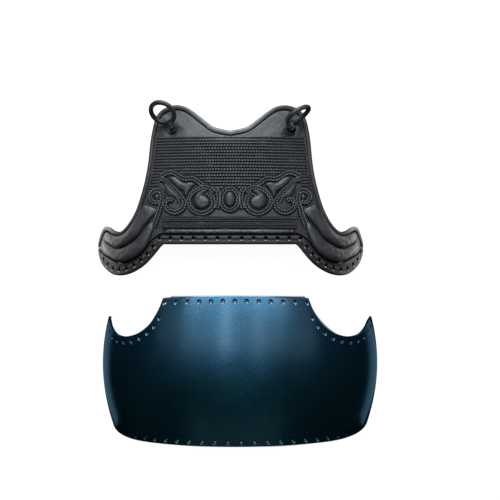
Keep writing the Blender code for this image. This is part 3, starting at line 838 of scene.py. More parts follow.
def punched(obj: Piece, places: Array, normals: Array, radius: float, flare: tuple[float, float, float],
            sides: int) -> None:
    """Cuts equal flared holes in a piece.

    One punch is turned from a cylinder with operators and copied to each place. The copies cut as one.

    Args:
        obj: The piece.
        places: World points on its surface.
        normals: The surface's normals there.
        radius: Radius of a hole.
        flare: Height over the surface where a punch starts to widen, height of its top and radius there.
        sides: Sides of a punch.
    """
    base, top, wide = flare
    bpy.ops.object.select_all(action="DESELECT")
    bpy.ops.mesh.primitive_cylinder_add(
        vertices=sides, radius=radius, depth=base - PUNCH_FOOT, location=(0.0, 0.0, (PUNCH_FOOT + base) / 2)
    )
    punch = bpy.context.active_object
    bpy.ops.object.transform_apply(location=True, rotation=False, scale=False)
    bpy.ops.object.mode_set(mode="EDIT")
    shape = bmesh.from_edit_mesh(punch.data)
    for face in shape.faces:
        face.select_set(face.normal.z > 0.9 and abs(face.calc_center_median().z - base) < 1e-5)
    bmesh.update_edit_mesh(punch.data)
    bpy.ops.mesh.extrude_region_move(TRANSFORM_OT_translate={"value": (0.0, 0.0, top - base)})
    bpy.ops.transform.resize(value=(wide / radius, wide / radius, 1.0))
    bpy.ops.object.mode_set(mode="OBJECT")
    copies = []
    for place, normal in zip(places, normals):
        copied = punch.copy()
        copied.data = punch.data.copy()
        turn = Vector(normal).to_track_quat("Z", "Y").to_matrix().to_4x4()
        copied.data.transform(Matrix.Translation(Vector(place)) @ turn)
        bpy.context.scene.collection.objects.link(copied)
        copies.append(copied)
    bpy.data.objects.remove(punch, do_unlink=True)
    only(copies[0])
    for copied in copies:
        copied.select_set(True)
    bpy.ops.object.join()
    boolean = obj.modifiers.new("cut", "BOOLEAN")
    boolean.operation = "DIFFERENCE"
    boolean.solver = "EXACT"
    boolean.object = copies[0]
    apply_modifiers(obj)
    bpy.data.objects.remove(copies[0], do_unlink=True)


def dressed(obj: Piece, materials: Sequence[Material], replaces: Sequence[str] = ()) -> None:
    """Gives a piece its materials and its place in the frame.

    Args:
        obj: The finished piece, at the origin.
        materials: Its materials, in the order of its faces' indices.
        replaces: Solids that it stands for.
    """
    obj.data.materials.clear()
    for material in materials:
        obj.data.materials.append(material)
    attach(obj, BODY)
    if replaces:
        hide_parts(*replaces)
    log.info("%s: %d faces", obj.name, len(obj.data.polygons))


def ripple(s: Array, v: Array, pitch: float, turn: float) -> Array:
    """Gentle unevenness of stretched leather.

    Args:
        s: Way across.
        v: Way up.
        pitch: Length of one wave.
        turn: Its direction, in radians.

    Returns:
        The unevenness, about -1 to 1.
    """
    a = s * math.cos(turn) + v * math.sin(turn)
    b = v * math.cos(turn) - s * math.sin(turn)
    k = 2 * math.pi / pitch
    return (np.sin(k * a + 1.3 * np.sin(0.6 * k * b)) + 0.6 * np.sin(1.7 * k * b + 2.0 + np.sin(0.9 * k * a))
            + 0.4 * np.sin(2.6 * k * a + 0.7 * k * b)) / 2.0


# The two forms


@dataclass(frozen=True)
class LeatherForm:
    """How the breastplate's leather is bent, the same as its solids."""

    middle_x: float = -0.0118
    hem_y: float = 0.0363
    arcs: tuple = ((0.365, math.radians(17.8)), (0.200, math.radians(50.0)), (0.080, math.radians(76.0)))
    crest_height: float = 0.0986
    crest_fall: float = 0.2419
    crest_bend: float = 0.50

    def across(self, s: Array) -> tuple[Array, Array, Array]:
        """Bends the leather across.

        Args:
            s: Way along the leather from its middle.

        Returns:
            Distance to the side, drop and slope there.
        """
        left = np.abs(s)
        x, drop, slope = np.zeros_like(left), np.zeros_like(left), np.zeros_like(left)
        for radius, end in self.arcs:
            turn = np.minimum(left / radius, end - slope)
            x += radius * (np.sin(slope + turn) - np.sin(slope))
            drop += radius * (np.cos(slope) - np.cos(slope + turn))
            left = left - radius * turn
            slope = slope + turn
        x += left * np.cos(slope)
        drop += left * np.sin(slope)
        side = np.sign(s)
        return side * x, drop, side * slope

    def __call__(self, points: Array) -> Array:
        """Bends flat points into place.

        Args:
            points: s, v and h of each.

        Returns:
            Their world places.
        """
        s, v, h = points.T
        x, drop, slope = self.across(s)
        z = self.crest_height - self.crest_fall * v - self.crest_bend * v * v - drop
        fall = -self.crest_fall - 2 * self.crest_bend * v
        normal = unit_rows(np.stack([np.sin(slope), -np.cos(slope) * fall, np.cos(slope)], axis=1))
        return np.stack([self.middle_x + x, self.hem_y + v, z], axis=1) + normal * h[:, None]

    def normals(self, points: Array) -> Array:
        """Unit normals of the leather at s and v."""
        return unit_rows(self(points + np.array([0.0, 0.0, 0.001])) - self(points))


@dataclass(frozen=True)
class ShellForm:
    """Half ellipses across that swell at mid height, the same as the shell's solid."""

    middle_x: float = 0.0037
    top_y: float = -0.0410
    half: float = 0.2245
    height: float = 0.1600
    end: float = math.radians(86.0)
    bulge_down: float = 0.1151
    bulge: float = 1.725
    lean: float = -0.045
    thick: float = 0.0045
    length: float = 0.2270
    bottom_lift: float = 0.0140
    lift_from: float = math.radians(45.0)
    top_fall: float = 0.0045
    corner: float = math.radians(33.0)

    @property
    def full_depth(self) -> float:
        """Height of the ellipse of which the shell is the upper part."""
        return self.height / (1 - math.cos(self.end))

    @property
    def floor_drop(self) -> float:
        """How far the ellipse's middle lies under the floor."""
        return self.full_depth - self.height

    def half_width(self, y: Array) -> Array:
        """Half width at y."""
        return self.half - self.bulge * (y - self.top_y + self.bulge_down) ** 2

    def depth(self, y: Array) -> Array:
        """Ellipse height at y."""
        return self.full_depth * np.sqrt(self.half_width(y) / self.half)

    def __call__(self, points: Array) -> Array:
        """Puts points on the shell.

        Args:
            points: Angle, y and distance inside the outer face of each.

        Returns:
            Their world places.
        """
        angle, y, inside = points.T
        wide, deep = self.half_width(y), self.depth(y)
        angle = angle * np.arccos(self.floor_drop / deep) / self.end
        z = deep * np.cos(angle) - self.floor_drop
        normal = unit_rows(np.stack([np.sin(angle) / wide, np.cos(angle) / deep], axis=1))
        x = wide * np.sin(angle) - normal[:, 0] * inside
        low = z - normal[:, 1] * inside
        return np.stack([self.middle_x + x + self.lean * np.maximum(z, 0.0), y, low], axis=1)

    def from_middle(self, places: Array) -> tuple[Array, Array, Array, Array]:
        """How world points lie to their cross section.

        Args:
            places: World points near the shell.

        Returns:
            The section's half width and height there, and how far each point is to the side of its middle and over it.
        """
        y = places[:, 1]
        aside = places[:, 0] - self.middle_x - self.lean * places[:, 2]
        return self.half_width(y), self.depth(y), aside, places[:, 2] + self.floor_drop

    def outward(self, places: Array) -> Array:
        """Unit normals of the family of surfaces that the shell's outer face belongs to.

        Args:
            places: World points near the shell.

        Returns:
            The normals there.
        """
        wide, deep, x, up = self.from_middle(places)
        wide_slope = -2 * self.bulge * (places[:, 1] - self.top_y + self.bulge_down)
        deep_slope = self.full_depth * wide_slope / (2 * np.sqrt(wide * self.half))
        across = 2 * x / wide**2
        along = -2 * x**2 / wide**3 * wide_slope - 2 * up**2 / deep**3 * deep_slope
        return unit_rows(np.stack([across, along, 2 * up / deep**2 - self.lean * across], axis=1))

    def depth_inside(self, places: Array) -> Array:
        """About how far points lie inside the outer face.

        Args:
            places: World points near the shell.

        Returns:
            The distances.
        """
        wide, deep, x, up = self.from_middle(places)
        reach = np.sqrt((x / wide) ** 2 + (up / deep) ** 2)
        return (1 - reach) * np.sqrt(x**2 + up**2) / np.maximum(reach, 1e-6)

    def top_edge(self, angle: Array) -> Array:
        """y of the top edge between its corners."""
        return self.top_y - self.top_fall * (angle / self.corner) ** 2

    def bottom_edge(self, angle: Array) -> Array:
        """y of the bottom edge."""
        way = np.maximum(np.abs(angle) - self.lift_from, 0.0) / (self.end - self.lift_from)
        return self.top_y - self.length + self.bottom_lift * way**2

    def scoop(self, steps: int) -> Array:
        """Angle and y along the right armhole, from the top corner to the horn's tip."""
        return spline([(math.radians(a), self.top_y - down * MM) for a, down in SCOOP], steps)

    def round_length(self, angle: float) -> float:
        """Length for each radian round the shell, near this angle."""
        deep = float(self.depth(np.array([self.top_y - self.bulge_down]))[0])
        return math.hypot(self.half * math.cos(angle), deep * math.sin(angle))

    def angle_of(self, length: float) -> float:
        """Finds the angle that lies at a length round the shell.

        Args:
            length: The length, from the middle.

        Returns:
            The angle, after enough rounds to settle it.
        """
        angle = 0.5
        for _ in range(20):
            angle = length / self.round_length(angle)
        return angle


# The lacquered shell


@dataclass
class LacqueredShell:
    """The dai: one curved shell with countersunk lacing holes along its top, armholes and bottom."""

    form: ShellForm = ShellForm()
    top_columns: int = 36
    scoop_steps: int = 7
    rows: int = 56
    bevel: float = 0.0008
    lip: float = 0.0024
    lip_fall: float = 0.0011
    hole_radius: float = 0.0019
    sink_radius: float = 0.0037
    sink_depth: float = 0.0013
    sink_over: float = 0.001
    hole_sides: int = 28
    top_holes: int = 6
    top_pitch: float = 0.0176
    top_inset: float = 0.0085
    scoop_holes: int = 11
    scoop_inset: float = 0.0092
    scoop_start: float = 0.030
    scoop_end: float = 0.016
    bottom_holes: int = 11
    bottom_pitch: float = 0.0218
    bottom_inset: float = 0.0062
    bottom_steps: int = 200
    aligned: float = 0.97
    skin: float = 0.0004

    def columns(self) -> tuple[Array, Array]:
        """Lines of the grid, from side to side.

        Returns:
            Angle and top y of each.
        """
        flat = np.linspace(0.0, self.form.corner, self.top_columns + 1)[:-1]
        half = np.vstack([np.stack([flat, self.form.top_edge(flat)], axis=1), self.form.scoop(self.scoop_steps)])
        whole = np.vstack([half[1:][::-1] * (-1, 1), half])
        return whole[:, 0], whole[:, 1]

    def hole_places(self) -> Array:
        """Lays out the lacing holes.

        Returns:
            Angle and y of each hole: the top row, then the armholes, then the bottom row.
        """
        form = self.form
        wide = float(form.half_width(np.array([form.top_y]))[0])
        angles = [math.asin(i * self.top_pitch / wide) for i in range(-self.top_holes, self.top_holes + 1)]
        places = [(angle, float(form.top_edge(angle)) - self.top_inset) for angle in angles]
        edge = form.scoop(8)
        line = inset(np.stack([[form.round_length(a) * a for a in edge[:, 0]], edge[:, 1]], axis=1), -self.scoop_inset)
        ways = ways_along(line)
        for way in np.linspace(self.scoop_start, ways[-1] - self.scoop_end, self.scoop_holes):
            length, y = (np.interp(way, ways, column) for column in line.T)
            places += [(side * form.angle_of(length), y) for side in (1, -1)]
        angles = np.linspace(0.0, form.end, self.bottom_steps + 1)
        steps = [form.round_length(a) * form.end / self.bottom_steps for a in angles[1:]]
        ways = np.concatenate([[0.0], np.cumsum(steps)])
        for i in range(self.bottom_holes):
            angle = float(np.interp(self.bottom_pitch * (i + 0.5), ways, angles))
            places += [(side * angle, float(form.bottom_edge(angle)) + self.bottom_inset) for side in (1, -1)]
        return np.array(places)

    def blank(self) -> Piece:
        """The outer face, a grid moved onto the form.

        Returns:
            The sheet, with no wall yet.
        """
        angles, tops = self.columns()
        bpy.ops.object.select_all(action="DESELECT")
        bpy.ops.mesh.primitive_grid_add(x_subdivisions=len(angles) - 1, y_subdivisions=self.rows, size=1.0)
        blank = bpy.context.active_object
        blank.name = "dai_lacquered_shell"
        flat = np.empty(len(blank.data.vertices) * 3)
        blank.data.vertices.foreach_get("co", flat)
        flat = flat.reshape(-1, 3)
        column = np.rint((flat[:, 0] + 0.5) * (len(angles) - 1)).astype(int)
        angle, top = angles[column], tops[column]
        low = self.form.bottom_edge(angle)
        y = low + (top - low) * (flat[:, 1] + 0.5)
        row = np.rint((flat[:, 1] + 0.5) * self.rows)
        at_top = np.abs(angle) < self.form.corner
        y = np.where(at_top & (row == self.rows - 1), top - self.lip, y)
        inside = np.where(at_top & (row == self.rows), self.lip_fall, 0.0)
        placed = self.form(np.stack([angle, y, inside], axis=1))
        blank.data.vertices.foreach_set("co", placed.ravel())
        blank.data.update()
        return blank

    def build(self, lacquer: Material, base: Material, cut: Material, worn: Material) -> None:
        """Makes the shell.

        Args:
            lacquer: Finish of its outer face.
            base: Finish of its inner face.
            cut: Finish of its cut edges and hole walls.
            worn: Finish of its rounded edges and countersinks: partly a paler chamfer, partly a painted highlight.
        """
        shell = self.blank()
        wall = shell.modifiers.new("wall", "SOLIDIFY")
        wall.thickness = self.form.thick
        wall.offset = -1.0
        wall.use_even_offset = True
        rounded = shell.modifiers.new("rounded", "BEVEL")
        rounded.width = self.bevel
        rounded.segments = 2
        rounded.limit_method = "ANGLE"
        rounded.angle_limit = math.radians(50.0)
        apply_modifiers(shell)
        places = self.hole_places()
        on_face = self.form(np.column_stack([places, np.zeros(len(places))]))
        slope = (self.sink_radius - self.hole_radius) / self.sink_depth
        flare = (-self.sink_depth, self.sink_over, self.sink_radius + slope * self.sink_over)
        punched(shell, on_face, self.form.outward(on_face), self.hole_radius, flare, self.hole_sides)
        # The wall's lower edges stay on the floor.
        for vertex in shell.data.vertices:
            vertex.co.z = max(vertex.co.z, 0.0)
        self.shade(shell)
        dressed(shell, (lacquer, base, cut, worn), ("dai_shell",))

    def shade(self, shell: Piece) -> None:
        """Sorts the faces into outer, inner, cut and paler edges, and gives the two large faces the form's own normals.

        Args:
            shell: The cut shell.
        """
        mesh = shell.data
        only(shell)
        bpy.ops.object.shade_smooth_by_angle(angle=math.radians(35.0))
        centres = np.array([face.center for face in mesh.polygons])
        facing = np.array([face.normal for face in mesh.polygons])
        outward = self.form.outward(centres)
        inside = self.form.depth_inside(centres)
        lined = np.einsum("ij,ij->i", facing, outward)
        outer = (lined > self.aligned) & (inside < self.skin)
        inner = (lined < -self.aligned) & (inside > self.form.thick * 0.7)
        kinds = np.where(outer, 0, np.where(inner, 1, 2))
        # Rounded edges and countersinks take the paler finish, partly a painted highlight.
        kinds[(inside < self.sink_depth * 1.1) & (lined > 0.25) & ~outer] = 3
        mesh.polygons.foreach_set("material_index", kinds.astype(np.int32))
        normals = np.array([corner.vector for corner in mesh.corner_normals])
        points = np.array([vertex.co for vertex in mesh.vertices])
        fair = self.form.outward(points)
        for face, out, back in zip(mesh.polygons, outer, inner):
            if out or back:
                for corner in face.loop_indices:
                    normals[corner] = fair[mesh.loops[corner].vertex_index] * (1.0 if out else -1.0)
        mesh.normals_split_custom_set(normals.tolist())


# The leather breastplate


@dataclass(frozen=True)
class Outline:
    """The flat cut of the leather, hem and top, for the whole width."""

    steps: int = 8

    def lines(self) -> tuple[Array, Array, Array]:
        """Draws both edges through the stations.

        Returns:
            Hem points, top points and band widths, left to right.
        """
        rows = [tuple(value * MM for value in row[1:]) for row in STATIONS]
        half = spline(rows, self.steps)
        mirrored = half[1:][::-1] * (-1, 1, -1, 1, 1)
        whole = np.vstack([mirrored, half])
        return whole[:, 0:2], whole[:, 2:4], whole[:, 4]

    def line_of(self, station: str) -> int:
        """Number of the right half's line at a station."""
        names = [row[0] for row in STATIONS]
        return (len(names) - 1 + names.index(station)) * self.steps


@dataclass
class Breastplate:
    """The mune's leather: panel, stitched field, rim, lacing band, rolls and padded ribs."""

    form: LeatherForm = LeatherForm()
    outline: Outline = Outline()
    gap: float = 0.0003
    thick: float = 0.0045
    hole_radius: float = 0.0050
    # Where the ears are painted lighter, a painted highlight
    ear_from: float = 0.182
    ear_run: float = 0.050
    ear_foot: float = -0.012
    ear_rise: float = 0.034
    rib_over: float = 0.0008
    # The rolled rim and the stitch crease along it
    rim_radius: float = 0.0034
    rim_half_width: float = 0.0038
    rim_sink: float = 0.0016
    rim_sides: int = 24
    rim_stitch_pitch: float = 0.0053
    rim_step: float = 0.0012
    rim_square: float = 0.78
    crease_at: float = math.radians(238.0)
    crease_width: float = 0.24
    neck_reach: float = 0.085
    # The panel, its sunk edges and the dimples round its holes, with painted shade in both
    panel_rows: int = 57
    panel_ends: tuple = (0.0, 0.0009, 0.0018, 0.0028, 0.0042, 0.0060)
    groove: float = 0.0013
    groove_depth: float = 0.0022
    groove_dark: float = 2.0
    side_dark: float = 5.0
    side_from: float = 0.060
    side_run: float = 0.040
    dimple: float = 0.0070
    dimple_depth: float = 0.0020
    dimple_dark: float = 0.0062
    # The lacing band, its slots, the pads between them, pale beads of painted glint and black collars of painted shade
    band_thick: float = 0.0048
    band_proud: float = 0.0009
    slot_radius: float = 0.0019
    slot_inset: float = 0.0098
    slot_pitch: float = 0.0187
    wing_slots: int = 10
    body_slots: int = 6
    wing_line_from: float = 0.1045
    wing_slot_start: float = 0.0140
    wing_slot_end: float = 0.0060
    pad_height: float = 0.00155
    wing_pad_height: float = 0.00075
    body_half: float = 0.113
    pad_width: float = 0.0051
    lip_drop: float = 0.0048
    lip_bead: tuple[float, float, float] = (0.0046, 0.0020, 0.0013)
    collar_neck: float = 0.0020
    collar_stretch: float = 160.0
    # The stitched field and its beads
    row_pitch: float = 0.00487
    row_top: float = 0.1710
    row_count: int = 19
    stitch_pitch: float = 0.0046
    ridge_height: float = 0.00115
    field_columns: int = 201
    field_margin: float = 0.0020
    field_slope: float = 0.0020
    field_end: float = 0.0010
    field_sink: float = 0.0022
    field_back: float = -0.0026
    floor_ramp: float = 0.0014
    bead_fade: float = 0.130
    bead_size: tuple[float, float, float] = (0.0030, 0.0026, 0.0013)
    bead_foot: float = 0.00080
    bead_margin: float = 0.0030

    def edges(self) -> tuple[Array, Array]:
        """Lower and upper edge of the panel between the lacing band and the rim."""
        hem, top, band = self.outline.lines()
        return inset(hem, band + self.gap), inset(top, -(2 * self.rim_radius + self.gap))

    def holes(self) -> Array:
        """s, v and h of the two holes for the shoulder loops."""
        return np.array([(row[6] * MM, row[7] * MM, 0.0) for row in LOOPS])

    def panel(self, leather: Material) -> None:
        """The leather sheet under all, sunk along its sewn edges and round the loop holes, with painted shade there.

        Args:
            leather: Its finish.
        """
        low, high = self.edges()
        ends = np.array(self.panel_ends)
        span = np.linalg.norm(high - low, axis=1)[:, None]
        inner = np.linspace(0.0, 1.0, self.panel_rows)[None, :] * (span - 2 * ends[-1]) + ends[-1]
        ways = np.hstack([np.broadcast_to(ends[:-1], (len(span), len(ends) - 1)), inner, span - ends[:-1][::-1]])
        front = low[:, None, :] + (high - low)[:, None, :] * (ways / span)[..., None]
        s, v = front[..., 0], front[..., 1]
        in_groove = np.exp(-((np.minimum(ways, span - ways) / self.groove) ** 2))
        relief = 0.00035 * ripple(s, v, 0.046, 0.4) - self.groove_depth * in_groove
        at_side = unit((np.abs(s) - self.side_from) / self.side_run)
        # Painted shade along the sunk edges, darker at the sides, and round the loop holes.
        deep = unit((self.groove_dark + self.side_dark * at_side) * in_groove)
        for hole_s, hole_v, _ in self.holes():
            away = np.hypot(s - hole_s, v - hole_v)
            relief -= self.dimple_depth * np.exp(-((away / self.dimple) ** 2))
            deep = np.maximum(deep, 0.9 * np.exp(-((away / self.dimple_dark) ** 2)))
        count, rows = s.shape
        upper = np.stack([s, v, relief], axis=2)
        lower = np.stack([s[:, ::-1], v[:, ::-1], np.full_like(s, -self.thick)], axis=2)
        columns = 2 * rows
        faces = lattice(count, columns, wrap_columns=True)
        for base in (0, (count - 1) * columns):
            faces += [(base + j, base + j + 1, base + columns - 2 - j, base + columns - 1 - j) for j in range(rows - 1)]
        # Painted highlight towards the ears.
        lit = self.ear_light(s, v)
        layout = Layout().add(
            np.concatenate([upper, lower], axis=1), faces, np.hstack([lit, 0 * lit]), np.hstack([deep, 0 * deep])
        )
        panel = layout.mesh("mune_leather_panel", self.form)
        self.holed(panel, self.holes(), self.hole_radius, (-0.001, 0.004, 1.4), 32)
        dressed(panel, (leather,), ("mune_panel",))

    def holed(self, sheet: Piece, flat: Array, radius: float, flare: tuple[float, float, float], sides: int) -> None:
        """Punches flared holes in leather and smooths it again.

        Args:
            sheet: The leather.
            flat: s, v and h of each hole.
            radius: Radius of a hole.
            flare: Height where it starts to widen, height where that ends and how many times wider it is there.
            sides: Sides of a hole.
        """
        base, top, times = flare
        punched(sheet, self.form(flat), self.form.normals(flat), radius, (base, top, radius * times), sides)
        bpy.ops.object.shade_smooth_by_angle(angle=math.radians(50.0))

    def ear_light(self, s: Array, v: Array) -> Array:
        """A painted highlight that grows towards the wings' upturned ears."""
        return unit((np.abs(s) - self.ear_from) / self.ear_run) * unit((v - self.ear_foot) / self.ear_rise)

    def field_side(self, v: Array | float) -> Array:
        """How far the stitched field reaches to each side.

        Args:
            v: How far up the leather.

        Returns:
            The reach there, a little short of the rim.
        """
        _, high = self.edges()
        right = high[self.outline.line_of("shoulder_corner"):self.outline.line_of("armhole_low")]
        order = np.argsort(right[:, 1])
        return np.interp(v, right[order, 1], right[order, 0]) - self.field_margin

    def field_share(self, s: Array | float, v: Array | float) -> Array:
        """1 on the stitched field and 0 below its lower edge, with a short ramp."""
        floor = np.array(FIELD_FLOOR) * MM
        return unit((v - np.interp(np.abs(s), floor[:, 0], floor[:, 1])) / self.floor_ramp + 0.5)

    def stitched_field(self, leather: Material, thread: Material) -> None:
        """Rows of ridges sewn across the chest, and the small beads between the stitches.

        Args:
            leather: The ridges' finish.
            thread: The beads' finish.
        """
        top = self.row_top + self.row_pitch * 0.5
        bottom = top - self.row_pitch * self.row_count
        rows = np.linspace(bottom, top, self.row_count * 8 + 1)
        half = self.field_side(rows)
        shares = np.linspace(-1.0, 1.0, self.field_columns)
        s = half[:, None] * shares[None, :]
        v = np.broadcast_to(rows[:, None], s.shape)
        wave = np.abs(np.sin(math.pi * (v - bottom) / self.row_pitch))
        edge = unit((1 - np.abs(shares)) * half.mean() / self.field_slope)[None, :]
        ends = unit(np.minimum(rows - bottom, top - rows) / self.field_end)[:, None]
        share = self.field_share(s, v) * edge * ends
        lift = 0.0001 + self.ridge_height * wave**0.8 + 0.00010 * ripple(s, v, 0.031, 1.1)
        h = share * lift - (1 - share) * self.field_sink
        # The grooves between ridges are painted shade, darkest in the middle; the ridge tops near the neck are painted
        # lighter, a painted highlight.
        middle = np.clip(1.0 - np.abs(s) / self.bead_fade, 0.25, 0.75)
        lit_near_neck = unit((v - 0.156) / 0.012) * unit(1.3 - np.abs(s) / 0.055)
        count, columns = s.shape
        layout = Layout()
        layout.add(np.stack([s, v, h], axis=2), lattice(count, columns), wave * (0.15 + 0.75 * lit_near_neck),
                   1.0 - wave**0.9 * (1.15 - 0.85 * middle * (1.0 - lit_near_neck)))
        layout.add(np.stack([s, v, np.full_like(s, self.field_back)], axis=2), lattice(count, columns))
        skirt = list(range(columns)) + [i * columns + columns - 1 for i in range(1, count)]
        skirt += [(count - 1) * columns + k for k in range(columns - 2, -1, -1)]
        skirt += [i * columns for i in range(count - 2, 0, -1)]
        size = count * columns
        layout.faces += [(a, b, b + size, a + size) for a, b in zip(skirt, skirt[1:] + skirt[:1])]
        quilted = layout.mesh("stitched_field", self.form, 80.0)
        dressed(quilted, (leather,))
        self.field_beads(thread, bottom)

    def field_beads(self, thread: Material, bottom: float) -> None:
        """The beads on the rows, one joined piece.

        Args:
            thread: Their finish.
            bottom: v of the field's lower end.
        """
        length, width, height = self.bead_size
        layout = Layout()
        for row in range(self.row_count):
            v = bottom + (row + 0.5) * self.row_pitch
            count = int((float(self.field_side(v)) - self.bead_margin) / self.stitch_pitch)
            shift = 0.25 * self.stitch_pitch * math.sin(row * 2.1)
            for i in range(-count, count + 1):
                s = i * self.stitch_pitch + shift
                if self.field_share(s, v - 0.0012) < 0.99:
                    continue
                sway = 0.00015 * math.sin(7.3 * i + 1.9 * row)
                fade = min(max(1.25 - abs(s) / self.bead_fade, 0.62), 1.0)
                grow = fade * (1.0 + 0.14 * math.sin(3.1 * i + 5.7 * row))
                turn = 0.06 * math.sin(5.0 * i + row)
                bead(layout, (s, v + sway, self.bead_foot), (length * grow, width * fade, height * grow), turn)
        dressed(layout.mesh("stitched_field_beads", self.form), (thread,))

    def rim(self, trim: Material) -> None:
        """The rolled binding round the neck, shoulders, armholes and wings, with a stitched crease along its top.

        Args:
            trim: Its finish.
        """
        _, top, _ = self.outline.lines()
        path = resampled(inset(top, -self.rim_radius), self.rim_step)
        path = np.vstack([path, 1.5 * path[-1:] - 0.5 * path[-2:-1]])
        way = np.arange(len(path)) * self.rim_step
        turns = circle(self.rim_sides)
        crease = np.exp(-(((turns - self.crease_at) / self.crease_width) ** 2))
        stitch = 0.5 + 0.5 * np.cos(2 * math.pi * way / self.rim_stitch_pitch)
        swell = (1.0 + 0.012 * np.sin(way / 0.0071) + 0.01 * np.sin(way / 0.0027 + 1.0))[:, None]
        cut = (0.0004 + 0.0008 * unit(2.2 * stitch - 1.1))[:, None] * crease
        cosines, sines = (np.sign(part) * np.abs(part) ** self.rim_square for part in (np.cos(turns), np.sin(turns)))
        aside = cosines * (self.rim_half_width * swell - cut)
        rise = -sines * (self.rim_radius * swell - cut)
        layers = swept(path, aside, rise - self.rim_sink)
        # The rim's top is painted lighter, most at the neck and the ears, a painted highlight; its inner side and the
        # stitch crease are painted shade.
        at_neck = unit(1.35 - np.abs(path[:, :1]) / self.neck_reach)
        worn = unit(rise / self.rim_radius + 0.3) * (0.1 + 0.7 * at_neck)
        worn = worn + 1.2 * self.ear_light(layers[..., 0], layers[..., 1])
        inner = unit(-aside / self.rim_half_width)
        deep = inner ** (1.8 + 3.2 * at_neck) + 0.3 * crease * stitch[:, None] ** 2
        rim = Layout().tube(layers, worn, deep).mesh("mune_rolled_rim", self.form)
        dressed(rim, (trim,), ("mune_rim",))

    def slot_places(self) -> tuple[Array, Array]:
        """Lays out the lacing slots.

        Returns:
            s and v of each slot, left to right, and the band's direction there.
        """
        hem, _, _ = Outline(2).lines()
        body = [(self.slot_pitch * i, self.slot_inset) for i in range(-self.body_slots, self.body_slots + 1)]
        line = inset(hem[hem[:, 0] > self.wing_line_from], self.slot_inset)
        line = line[line[:, 0] > self.body_slots * self.slot_pitch]
        ways = ways_along(line)
        wanted = np.linspace(self.wing_slot_start, ways[-1] - self.wing_slot_end, self.wing_slots)
        right = np.stack([np.interp(wanted, ways, column) for column in line.T], axis=1)
        places = np.vstack([right[::-1] * (-1, 1), body, right])
        return places, directions(places)

    def band(self, trim: Material, thread: Material, cord: Material) -> None:
        """The lacing band: a turned hem, a channel with slots, and an inner edge that dips to its seam.

        Args:
            trim: Finish of the band and its pads.
            thread: Finish of the pale beads on its lip, a painted glint.
            cord: Finish of the black collars in its slots, a painted shade.
        """
        hem, _, width = self.outline.lines()
        section = self.band_section(width)
        aside, rise = section[..., 0], section[..., 1]
        layers = swept(hem, aside, rise)
        # The band's top and its wing ends are painted lighter, a painted highlight; its inner edge is painted shade.
        worn = 0.2 * unit((rise - self.band_proud + 0.0003) / 0.0008)
        worn = worn + 0.8 * unit((np.abs(layers[..., 0]) - 0.150) / 0.060)
        deep = np.where(width[:, None] - aside < 0.0012, 0.6, 0.0)
        band = Layout().tube(layers, worn, deep).mesh("lacing_band_leather", self.form, 70.0)
        places, _ = self.slot_places()
        self.holed(band, np.column_stack([places, np.zeros(len(places))]), self.slot_radius, (0.0, 0.003, 1.5), 20)
        dressed(band, (trim,), ("lacing_band",))
        self.band_pads(trim, thread)
        self.slot_collars(cord)

    def band_section(self, width: Array) -> Array:
        """Lays out the band's cross section, from under the hem over the front to its seam.

        Args:
            width: The band's width at each line.

        Returns:
            Distance from the hem and height of each point, for each width.
        """
        back, front = self.band_proud - self.band_thick, self.band_proud
        from_hem = (
            (0.0009, back), (0.0000, back + 0.0009), (0.0000, front - 0.0012), (0.0005, front - 0.0003),
            (0.0014, front + 0.0002), (0.0030, front + 0.0003), (0.0040, front), (0.0050, front - 0.0005),
        )
        from_inner = (
            (0.0052, front - 0.0005), (0.0040, front - 0.0004), (0.0027, front), (0.0017, front + 0.0002),
            (0.0009, front - 0.0003), (0.0003, front - 0.0012), (0.0000, front - 0.0022), (0.0000, back),
        )
        points = [(np.full_like(width, d), h) for d, h in from_hem] + [(width - d, h) for d, h in from_inner]
        return np.stack([np.stack([d, np.full_like(width, h)], axis=1) for d, h in points], axis=1)

    def band_pads(self, trim: Material, thread: Material) -> None:
        """Raised pads between the slots, and a pale bead on the lip under each slot, a painted glint.

        Args:
            trim: The pads' finish.
            thread: The pale beads' finish.
        """
        places, along = self.slot_places()
        pads, lip_glints = Layout(), Layout()
        for a, b in zip(places, places[1:]):
            step, middle = b - a, (a + b) / 2
            tall = self.pad_height if abs(middle[0]) < self.body_half else self.wing_pad_height
            length = np.linalg.norm(step) - 2 * self.slot_radius - 0.0006
            foot = (*middle, self.band_proud - 0.0006)
            bead(pads, foot, (length, self.pad_width, tall), math.atan2(step[1], step[0]), PAD_LAYERS)
        # A pale bead under each slot: a painted glint.
        for place, way in zip(places, along):
            lip = place + np.array([way[1], -way[0]]) * self.lip_drop
            bead(lip_glints, (*lip, self.band_proud - 0.0001), self.lip_bead, math.atan2(way[1], way[0]))
        dressed(pads.mesh("lacing_band_pads", self.form), (trim,))
        dressed(lip_glints.mesh("lacing_band_lip_glints", self.form), (thread,))

    def slot_collars(self, cord: Material) -> None:
        """A black collar in each slot, wider across the band than along it, which fills the slot with painted shade.

        Args:
            cord: Its finish.
        """
        layout = Layout()
        for s, v in self.slot_places()[0]:
            foot = -0.0075 if abs(s) < 0.14 else -0.0036
            section = ((0.0007, foot), (0.0007, -0.0008), (0.0013, 0.0007), (0.0024, 0.0009), (0.0029, 0.0003),
                       (self.collar_neck, 0.0000), (self.collar_neck, foot))
            stretch = [max(1.0, 1.0 + self.collar_stretch * (r - self.collar_neck)) for r, _ in section]
            layers = np.array([
                [(s + r * math.cos(turn), v + r * math.sin(turn) * more, h) for (r, h), more in zip(section, stretch)]
                for turn in circle(16)
            ])
            # Painted dark all over: painted shade.
            layout.tube(layers, 0.0, 1.0, closed=True)
        dressed(layout.mesh("lacing_slot_collars", self.form), (cord,))

